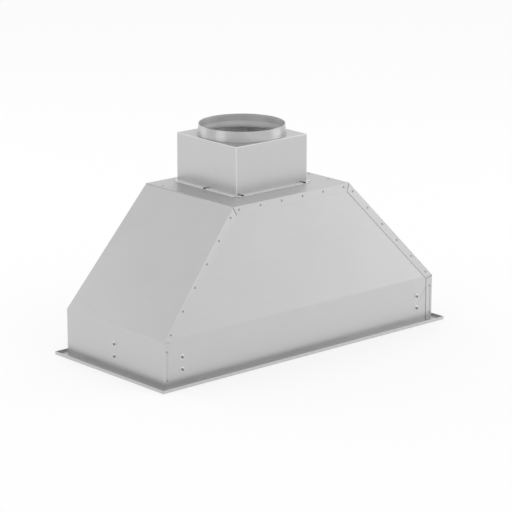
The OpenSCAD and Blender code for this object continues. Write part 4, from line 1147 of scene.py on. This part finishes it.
# The host mesh is a baffle's section; the tree fills it, draws it out and lays both layers
def baffleTree():
    tree, take = startTree(
        "baffleTree", Count=11, Pitch=34 * mm, Length=0.24, Bend=1 * mm,
        Lower=(0, 0, 0), Upper=(0, 0, 0),
    )
    line = addNode(tree, "GeometryNodeMeshToCurve", {0: take["Geometry"]})
    share = addNode(tree, "GeometryNodeInputNamedAttribute", {"Name": "bend"}, data_type="FLOAT")
    rounded = addNode(tree, "GeometryNodeFilletCurve", {
        "Curve": line.outputs[0], "Radius": times(tree, share.outputs[0], take["Bend"]), "Count": 3,
    }, mode="POLY")
    solid = drawnOut(tree, rounded.outputs[0], take["Length"])
    slat = moved(tree, solid, Rotation=(math.radians(90), 0, 0))
    fewer = calculate(tree, "SUBTRACT", take["Count"], 1.0)
    layers = []
    for start, count, turn in (("Lower", take["Count"], 0), ("Upper", fewer, math.pi)):
        row = rowPoints(tree, count, take[start], take["Pitch"])
        layers.append(spreadOver(tree, row, slat, Rotation=(0, turn, 0)))
    return endTree(tree, take, joinShapes(tree, *layers))


# A closed line of corners; each keeps its share of the tree's bend
def sectionMesh(name, corners):
    mesh = bpy.data.meshes.new(name)
    count = len(corners)
    lines = [(i, (i + 1) % count) for i in range(count)]
    mesh.from_pydata([(*corner[:2], 0) for corner in corners], lines, [])
    bends = mesh.attributes.new("bend", "FLOAT", "POINT")
    for entry, corner in zip(bends.data, corners):
        entry.value = corner[2]
    return mesh


def layBaffles(side, v, tree):
    node = "filter_baffles_" + side
    low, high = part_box(node)
    half, tall, sheet = v["slatWidth"] / 2, v["slatHeight"], v["sheet"]
    corners = [
        (-half, 0, 1.0), (half, 0, 1.0), (half, tall, 0.25), (half - sheet, tall, 0.25),
        (half - sheet, sheet, 0.4), (-half + sheet, sheet, 0.4), (-half + sheet, tall, 0.25),
        (-half, tall, 0.25),
    ]
    piece = grow(node + "Laid", sectionMesh(node + "Section", corners), tree, {
        "Count": round((high.x - low.x - 2 * half) / v["pitch"]) + 1,
        "Pitch": v["pitch"], "Length": high.y - low.y, "Bend": v["bend"],
        "Lower": (low.x + half, high.y, low.z),
        "Upper": (low.x + half + v["pitch"] / 2, high.y, high.z),
        "Material": finishes["filterSteel"],
    })
    finishPiece(sharpen(piece), node)


handleShape = {
    "rod": 2.5 * mm, "foot": 4.5 * mm, "thin": 1.5 * mm, "collar": 0.8 * mm, "bend": 6 * mm,
}


def bentHandle(side, v):
    node = "filter_handle_" + side
    low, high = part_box(node)
    rod, foot, thin = v["rod"], v["foot"], v["thin"]
    under = -thin - v["collar"]
    y = (low.y + high.y) / 2
    ends = (low.x + foot, high.x - foot)
    levels = (high.z, low.z + rod)
    route = [(ends[i], y, levels[j]) for i, j in ((0, 0), (0, 1), (1, 1), (1, 0))]
    parts = [sweptRod("rod", route, rod, v["bend"], 20)]
    outline = roundedOutline([
        (0.2 * mm, 0, 0), (foot, 0, 0.2 * mm), (foot, -thin, 0.6 * mm),
        (rod + 0.6 * mm, -thin, 0.5 * mm), (rod, under, 0.4 * mm), (0.2 * mm, under, 0),
    ])
    for x in ends:
        parts.append(lathe("foot", [(0, 0)] + outline + [(0, under)], (x, y, high.z), 40))
    finishPiece(sharpen(joinPieces(node + "Bent", parts), 40), node)


baffles = baffleTree()
for side in ("left", "right"):
    foldedSheet("filter_frame_" + side, "filterFrame", 1.2 * mm, 0.15 * mm)
    layBaffles(side, filterShape, baffles)
    bentHandle(side, handleShape)
print("filters made")

# Blower: housing, wheel, motor and what holds and feeds it

softened("blower_scroll", "zincSheet", 0.3 * mm)
for side in ("left", "right"):
    softened("blower_side_" + side, "zincSheet", 0.45 * mm, 3)
wheelLow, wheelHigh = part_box("impeller")
axle = (wheelLow + wheelHigh) / 2
wheel = {
    "blades": 32, "radius": 80 * mm, "blade": 14 * mm, "thick": 0.9 * mm, "curve": 1.3 * mm,
    "slant": 35.0, "disc": 2.0 * mm, "hub": 14 * mm, "hubLength": 30 * mm, "bore": 5.08 * mm,
    "bowSteps": 6, "pressed": (0.55, 0.6),  # the disc's step, as shares of the way to the blades
}


# The section of one blade: a thin plate bowed along its depth
def bladeSection(name, v):
    outer, inner = [], []
    for i in range(v["bowSteps"] + 1):
        share = 2 * i / v["bowSteps"] - 1
        x, bow = share * v["blade"] / 2, (1 - share * share) * v["curve"]
        outer.append((x, bow + v["thick"] / 2 - v["curve"] / 2, 0))
        inner.append((x, bow - v["thick"] / 2 - v["curve"] / 2, 0))
    return sectionMesh(name, outer + inner[::-1])


def bladeTree():
    tree, take = startTree(
        "bladeTree", Count=32, Ring=73 * mm, Slant=math.radians(35), Length=148 * mm,
        Centre=(0, 0, 0),
    )
    line = addNode(tree, "GeometryNodeMeshToCurve", {0: take["Geometry"]})
    solid = drawnOut(tree, line.outputs[0], take["Length"])
    low = vector(tree, z=times(tree, take["Length"], -0.5))
    blade = moved(tree, solid, Translation=low)
    placed, angle = ringPoints(tree, take, "Z", 0.5)
    turn = vector(tree, z=calculate(tree, "ADD", angle, take["Slant"]))
    spread = spreadOver(tree, placed, blade, Rotation=turn)
    laid = movedWhenReal(
        tree, spread, Rotation=(0, math.radians(90), 0), Translation=take["Centre"]
    )
    return endTree(tree, take, laid)


def blowerWheel(v):
    radius, disc, hub, bore = v["radius"], v["disc"], v["hub"], v["bore"]
    ring = radius - v["blade"] / 2
    half = (wheelHigh.x - wheelLow.x) / 2
    parts = [grow("wheelBlades", bladeSection("bladeSection", v), bladeTree(), {
        "Count": v["blades"], "Ring": ring, "Slant": math.radians(v["slant"]),
        "Length": 2 * half - disc, "Centre": tuple(axle), "Material": finishes["wheelSheet"],
    })]
    for side in (-1, 1):
        edge = side * half
        inside = edge - side * disc
        outline = roundedOutline([
            (ring - disc, edge, 0.5 * mm), (radius, edge, 0.7 * mm),
            (radius, inside, 0.7 * mm), (ring - disc, inside, 0.5 * mm),
        ])
        parts.append(lathe("endRing", outline, axle, 96, "X"))
    thin, length = disc / 2, v["hubLength"] / 2
    first, last = [ring * share for share in v["pressed"]]
    # dished disc with a pressed step, and its hub
    outline = roundedOutline([
        (bore, -length, 0.3 * mm), (hub - 2 * mm, -length, 1.0 * mm),
        (hub, -length + 3 * mm, 1.0 * mm), (hub, -thin, 1.5 * mm), (first, -thin, 0),
        (last, -thin * 0.4, 0), (ring, -thin * 0.4, 0.2 * mm), (ring, thin, 0.3 * mm),
        (last, thin, 0), (first, thin * 0.6, 0), (hub, thin * 0.6, 1.5 * mm),
        (hub, length - 3 * mm, 1.0 * mm), (hub - 2 * mm, length, 1.0 * mm),
        (bore, length, 0.3 * mm),
    ])
    parts.append(lathe("wheelDisc", outline, axle, 96, "X"))
    finishPiece(sharpen(joinPieces("blowerWheel", parts), 30), "impeller")


blowerWheel(wheel)


# A straight bar with chamfered ends between the two ends of its node's box
def plainAxle(node, radius, chamfer):
    low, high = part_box(node)
    middle = (low + high) / 2
    outline = [
        (0, low.x), (radius - chamfer, low.x), (radius, low.x + chamfer),
        (radius, high.x - chamfer), (radius - chamfer, high.x), (0, high.x),
    ]
    bar = lathe(node + "Turned", outline, (0, middle.y, middle.z), 48, "X")
    finishPiece(sharpen(bar), node)


plainAxle("motor_shaft", 5.0 * mm, 0.6 * mm)
motorLow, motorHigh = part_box("motor")
motor = {
    "radius": 45 * mm, "cap": 43.8 * mm, "capDepth": 8 * mm, "bore": 5.08 * mm, "boreEnd": 4 * mm,
    "dish": 1.4 * mm, "groove": 0.6 * mm,
    "slots": 12, "slotRing": 28 * mm, "slotSize": (6 * mm, 13 * mm, 4 * mm),
}


# Cuts a ring of cooling slots in the cap of the motor
def slotTree():
    tree, take = startTree(
        "slotTree", Count=12, Ring=28 * mm, Size=(6 * mm, 13 * mm, 4 * mm), Centre=(0, 0, 0),
    )
    placed, angle = ringPoints(tree, take, "X")
    spread = spreadOver(tree, placed, block(tree, take["Size"]), Rotation=vector(tree, angle))
    cutters = movedWhenReal(tree, spread, Translation=take["Centre"])
    return endTree(tree, take, cutShape(tree, take["Geometry"], cutters))


def motorCan(v):
    low, high, r, cap, bore = motorLow.x, motorHigh.x, v["radius"], v["cap"], v["bore"]
    step = low + v["capDepth"]
    end = high - v["boreEnd"] + 0.1 * mm
    dishLow, dishHigh = low + v["dish"], high - v["dish"]
    grooves = []
    for start in (step + 10 * mm, high - 22 * mm):
        deep = r - v["groove"]
        grooves += [(r, start, 0), (deep, start + 1 * mm, 0.4 * mm)]
        grooves += [(deep, start + 3 * mm, 0.4 * mm), (r, start + 4 * mm, 0)]
    outline = [(0, end)] + roundedOutline([
        (bore, end, 0), (bore, low, 0.3 * mm), (13 * mm, low, 0.8 * mm),
        (15 * mm, dishLow, 0.8 * mm), (38 * mm, dishLow, 0.8 * mm), (39.5 * mm, low, 0.8 * mm),
        (cap, low, 2.5 * mm), (cap, step, 0.3 * mm), (r, step, 1.0 * mm), *grooves,
        (r, high, 2.5 * mm), (36 * mm, high, 0.8 * mm), (34 * mm, dishHigh, 0.8 * mm),
        (16 * mm, dishHigh, 0.8 * mm), (14 * mm, high, 0.8 * mm),
    ], 3) + [(0, high)]
    middle = (motorLow + motorHigh) / 2
    can = lathe("motorCan", outline, (0, middle.y, middle.z), 80, "X")
    cut = grow("motorCanSlotted", can.data, slotTree(), {
        "Count": v["slots"], "Ring": v["slotRing"], "Size": v["slotSize"],
        "Centre": (dishLow, middle.y, middle.z), "Material": finishes["blackPaint"],
    })
    bpy.data.objects.remove(can)
    finishPiece(sharpen(cut), "motor")


motorCan(motor)
softened("motor_bracket", "zincSheet", 0.5 * mm, 3)


def middleOf(points):
    corners = [[pick(p[i] for p in points) for i in range(3)] for pick in (min, max)]
    return (Vector(corners[0]) + Vector(corners[1])) / 2


grommet = {"radius": 7 * mm, "hole": 2.15 * mm, "half": 1.5 * mm, "waist": 6.0 * mm}


# Rubber mounts: rings with a waist that the bracket's sheet sits in
def rubberRings(node, v):
    r, hole, half, waist = v["radius"], v["hole"], v["half"], v["waist"]
    outline = roundedOutline([
        (hole, -half, 0.2 * mm), (r, -half, 0.5 * mm), (r, -0.6 * mm, 0.2 * mm),
        (waist, -0.4 * mm, 0.2 * mm), (waist, 0.4 * mm, 0.2 * mm), (r, 0.6 * mm, 0.2 * mm),
        (r, half, 0.5 * mm), (hole, half, 0.2 * mm),
    ], 3)
    rings = [
        lathe("grommet", outline, middleOf(points), 40, "X") for points, _ in looseSolids(node)
    ]
    finishPiece(sharpen(joinPieces("motorGrommets", rings)), node)


rubberRings("motor_grommets", grommet)
capacitor = {
    "neck": 0.5 * mm, "rim": 1.6 * mm, "recess": 3.4 * mm,
    "tab": (0.4 * mm, 0, 3.1 * mm), "tabRoot": 3.6 * mm, "tabsApart": 5 * mm,
}


def runCapacitor(node, v):
    low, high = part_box(node)
    middle = (low + high) / 2
    r, half = (high.x - low.x) / 2, (high.y - low.y) / 2
    neck, bottom = r - v["neck"], half - v["recess"]
    outline = [(0, -half)] + roundedOutline([
        (r * 0.8, -half, 0), (r, -half, 2.2 * mm), (r, half - 4 * mm, 0),
        (neck, half - 3.2 * mm, 0.3 * mm), (neck, half - 2.6 * mm, 0.3 * mm),
        (r, half - 2 * mm, 0), (r, half, 0.6 * mm), (r - v["rim"], half, 0.6 * mm),
        (r - v["rim"] - 0.2 * mm, bottom, 0.4 * mm),
    ], 3) + [(0, bottom)]
    parts = [lathe("can", outline, middle, 64, "Y")]
    reach = Vector(v["tab"])
    for side in (-1, 1):
        spot = Vector((middle.x + side * v["tabsApart"], middle.y + half, middle.z))
        root = spot - reach - Vector((0, v["tabRoot"], 0))
        parts.append(softBox("blade", root, spot + reach, 0.15 * mm, 1))
    finishPiece(sharpen(joinPieces("runCapacitor", parts)), node)


runCapacitor("capacitor", capacitor)
softened("capacitor_clip", "zincSheet", 0.3 * mm)
lead = {
    "radius": 3.0 * mm, "bend": 9 * mm, "beside": 104 * mm,  # where it climbs beside the blower
    "leaves": 212.5 * mm, "crosses": 310.8 * mm,  # its levels at the motor and under the top
}


def motorLead(node, v):
    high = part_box(node)[1]
    beside, leaves, crosses = v["beside"], v["leaves"], v["crosses"]
    x, y = high.x - v["radius"], high.y - v["radius"]
    route = [
        (motorHigh.x, axle.y, leaves), (beside, axle.y, leaves), (beside, axle.y, crosses),
        (beside, y, crosses), (x, y, crosses), (x, y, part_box("wiring_box")[0].z),
    ]
    sheath = sweptRod("motorLead", route, v["radius"], v["bend"], 20)
    finishPiece(sharpen(sheath, 50), node)


motorLead("motor_lead", lead)
print("blower, wheel and motor made")

# Damper in the outlet, and the wiring

softened("damper_frame", "zincSheet", 0.4 * mm)
plainAxle("damper_spindle", 2.5 * mm, 0.5 * mm)
for side in ("front", "rear"):
    softened("damper_leaf_" + side, "leafSheet", 0.22 * mm)
foldedSheet("wiring_box", "zincSheet", 1.6 * mm)


# A thin lid across X with rounded corners and a pressed field
def pressedLid(node, corner, margin, slope, press):
    shape = cubeShape(*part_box(node))
    edges = [line for line in shape.edges if abs((line.verts[0].co - line.verts[1].co).x) > tiny]
    bmesh.ops.bevel(shape, geom=edges, offset=corner, segments=5, profile=0.5, affect="EDGES")
    for side in (-1, 1):
        shape.normal_update()
        face = next(f for f in shape.faces if f.normal.x * side > 0.9)
        bmesh.ops.inset_individual(shape, faces=[face], thickness=margin)
        bmesh.ops.inset_individual(shape, faces=[face], thickness=slope, depth=-side * press)
    piece = newObject(node + "Pressed", shape)
    piece.data.shade_smooth()
    breakEdges(piece, 0.3 * mm, 60)
    finishPiece(piece, node, "zincSheet")


pressedLid("wiring_cover", 3.5 * mm, 6 * mm, 1.5 * mm, 0.5 * mm)
gland = {
    "bore": 5.0 * mm, "thread": 8.0 * mm, "pitch": 1.5 * mm, "depth": 0.7 * mm,
    "seat": 12 * mm, "nut": 6 * mm, "ribs": 24, "ribDepth": 0.03,
}


# The gland: a thread under the plate, a hexagon on it and a ribbed dome over that
def cableGland(node, v):
    low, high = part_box(node)
    middle = (low + high) / 2
    bore, thread, across = v["bore"], v["thread"], (high.x - low.x) / 2
    root = thread - v["depth"]
    seat = low.z + v["seat"]
    top = seat + v["nut"]
    outline = [(bore, low.z + 0.5 * mm), (bore + 0.5 * mm, low.z)]
    level = low.z
    while level + v["pitch"] < seat:
        outline += [(root, level), (thread, level + 0.5 * mm), (thread, level + 0.8 * mm)]
        level += v["pitch"]
    outline += [
        (root, seat), (across - 0.5 * mm, seat), (across, seat + 0.5 * mm),
        (across, top - 0.6 * mm), (across - 0.6 * mm, top), (thread, top),
        (thread, high.z - 3 * mm), (thread - 1.0 * mm, high.z - 0.8 * mm),
        (thread - 2.0 * mm, high.z), (bore + 0.4 * mm, high.z), (bore, high.z - 0.5 * mm),
    ]
    piece = lathe("cableGland", outline, (middle.x, middle.y, 0), 96)
    sixth = math.pi / 3
    for vert in piece.data.vertices:
        out = Vector((vert.co.x - middle.x, vert.co.y - middle.y))
        angle = math.atan2(out.y, out.x)
        if out.length > thread + 0.5 * mm:
            out *= math.cos(sixth / 2) / math.cos(angle % sixth - sixth / 2)
        elif out.length > thread - 0.1 * mm and vert.co.z > top + 0.1 * mm:
            out *= 1 - v["ribDepth"] * (0.5 + 0.5 * math.cos(v["ribs"] * angle))
        vert.co.x, vert.co.y = middle.x + out.x, middle.y + out.y
    finishPiece(sharpen(piece, 28), node)


cableGland("cable_gland", gland)
print("damper and wiring made")

# Electronics over the light panel

circuit = {
    "board": 1.6 * mm, "switch": 6 * mm, "columns": 13, "rows": 2, "seed": 11,
    "spread": (0.85, 0.5),  # how much of the board's length and depth the small parts take
}


# Small parts on a grid over the board, each with a size of its own
def partsTree():
    tree, take = startTree(
        "partsTree", Wide=0.14, Deep=0.02, Columns=13, Rows=2, Seed=11, Centre=(0, 0, 0),
    )
    grid = addNode(tree, "GeometryNodeMeshGrid", {
        "Size X": take["Wide"], "Size Y": take["Deep"],
        "Vertices X": take["Columns"], "Vertices Y": take["Rows"],
    })
    sizes = addNode(tree, "FunctionNodeRandomValue", {
        0: (0.35, 0.4, 0.6), 1: (1.0, 1.0, 1.0), "Seed": take["Seed"],
    }, data_type="FLOAT_VECTOR")
    chip = block(tree, (7 * mm, 5 * mm, 1.4 * mm))
    spread = spreadOver(tree, grid.outputs["Mesh"], chip, Scale=sizes.outputs[0])
    return endTree(tree, take, movedWhenReal(tree, spread, Translation=take["Centre"]))


def controlBoard(node, v):
    low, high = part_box(node)
    middle = (low + high) / 2
    foot, under = low.z, high.z - v["board"]
    r = v["switch"] / 2
    step, neck, shoulder = r - 0.6 * mm, foot + 0.9 * mm, r - 0.2 * mm
    outline = [
        (0, foot), (r - 0.9 * mm, foot), (step, foot + 0.3 * mm), (step, neck),
        (shoulder, neck), (r, foot + 1.1 * mm), (r, under), (0, under),
    ]
    parts = [softBox("sheet", (low.x, low.y, under), high, 0.2 * mm, 1)]
    for name in buttonNames:
        left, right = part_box("button_" + name)
        parts.append(lathe("switch", outline, ((left.x + right.x) / 2, middle.y, 0), 32))
    finishPiece(sharpen(joinPieces("controlBoard", parts)), node)
    small = grow("boardParts", bpy.data.meshes.new("boardParts"), partsTree(), {
        "Wide": v["spread"][0] * (high.x - low.x), "Deep": v["spread"][1] * (high.y - low.y),
        "Columns": v["columns"], "Rows": v["rows"], "Seed": v["seed"],
        "Centre": (middle.x, middle.y, high.z + 0.5 * mm), "Material": finishes["blackPlastic"],
    })
    attach(small, node)


controlBoard("control_board", circuit)


# A row of low ribs along X, for the lid of the lamp driver
def ribTree():
    tree, take = startTree(
        "ribTree", Count=9, Step=6 * mm, Size=(0.002, 0.03, 0.001), Start=(0, 0, 0),
    )
    row = rowPoints(tree, take["Count"], take["Start"], take["Step"])
    return endTree(tree, take, spreadOver(tree, row, block(tree, take["Size"])))


driver = {
    "seamAt": 0.62, "seam": 0.6 * mm, "edge": 1.2 * mm,
    "ribs": 9, "ribStep": 6 * mm, "ribWide": 2.0 * mm, "ribLong": 0.7, "ribHigh": 0.8 * mm,
}


def lampDriver(node, v):
    low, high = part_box(node)
    seam, edge = v["seam"], v["edge"]
    lid = low.z + v["seamAt"] * (high.z - low.z)
    top = high.z - v["ribHigh"]
    inset = Vector((seam, seam, 0))
    parts = [
        softBox("case", low, (high.x, high.y, lid), edge, 3),
        softBox(
            "seam", low + inset, (high.x - seam, high.y - seam, lid + 0.8 * mm), 0.3 * mm, 1
        ),
        softBox("lid", (low.x, low.y, lid + seam), (high.x, high.y, top), edge, 3),
    ]
    start = (low.x + high.x - (v["ribs"] - 1) * v["ribStep"]) / 2
    parts.append(grow("driverRibs", bpy.data.meshes.new("driverRibs"), ribTree(), {
        "Count": v["ribs"], "Step": v["ribStep"],
        "Size": (v["ribWide"], v["ribLong"] * (high.y - low.y), 2 * v["ribHigh"]),
        "Start": (start, (low.y + high.y) / 2, top), "Material": finishes["whitePlastic"],
    }))
    finishPiece(sharpen(joinPieces("lampDriver", parts)), node)


lampDriver("lamp_driver", driver)
print("electronics made")
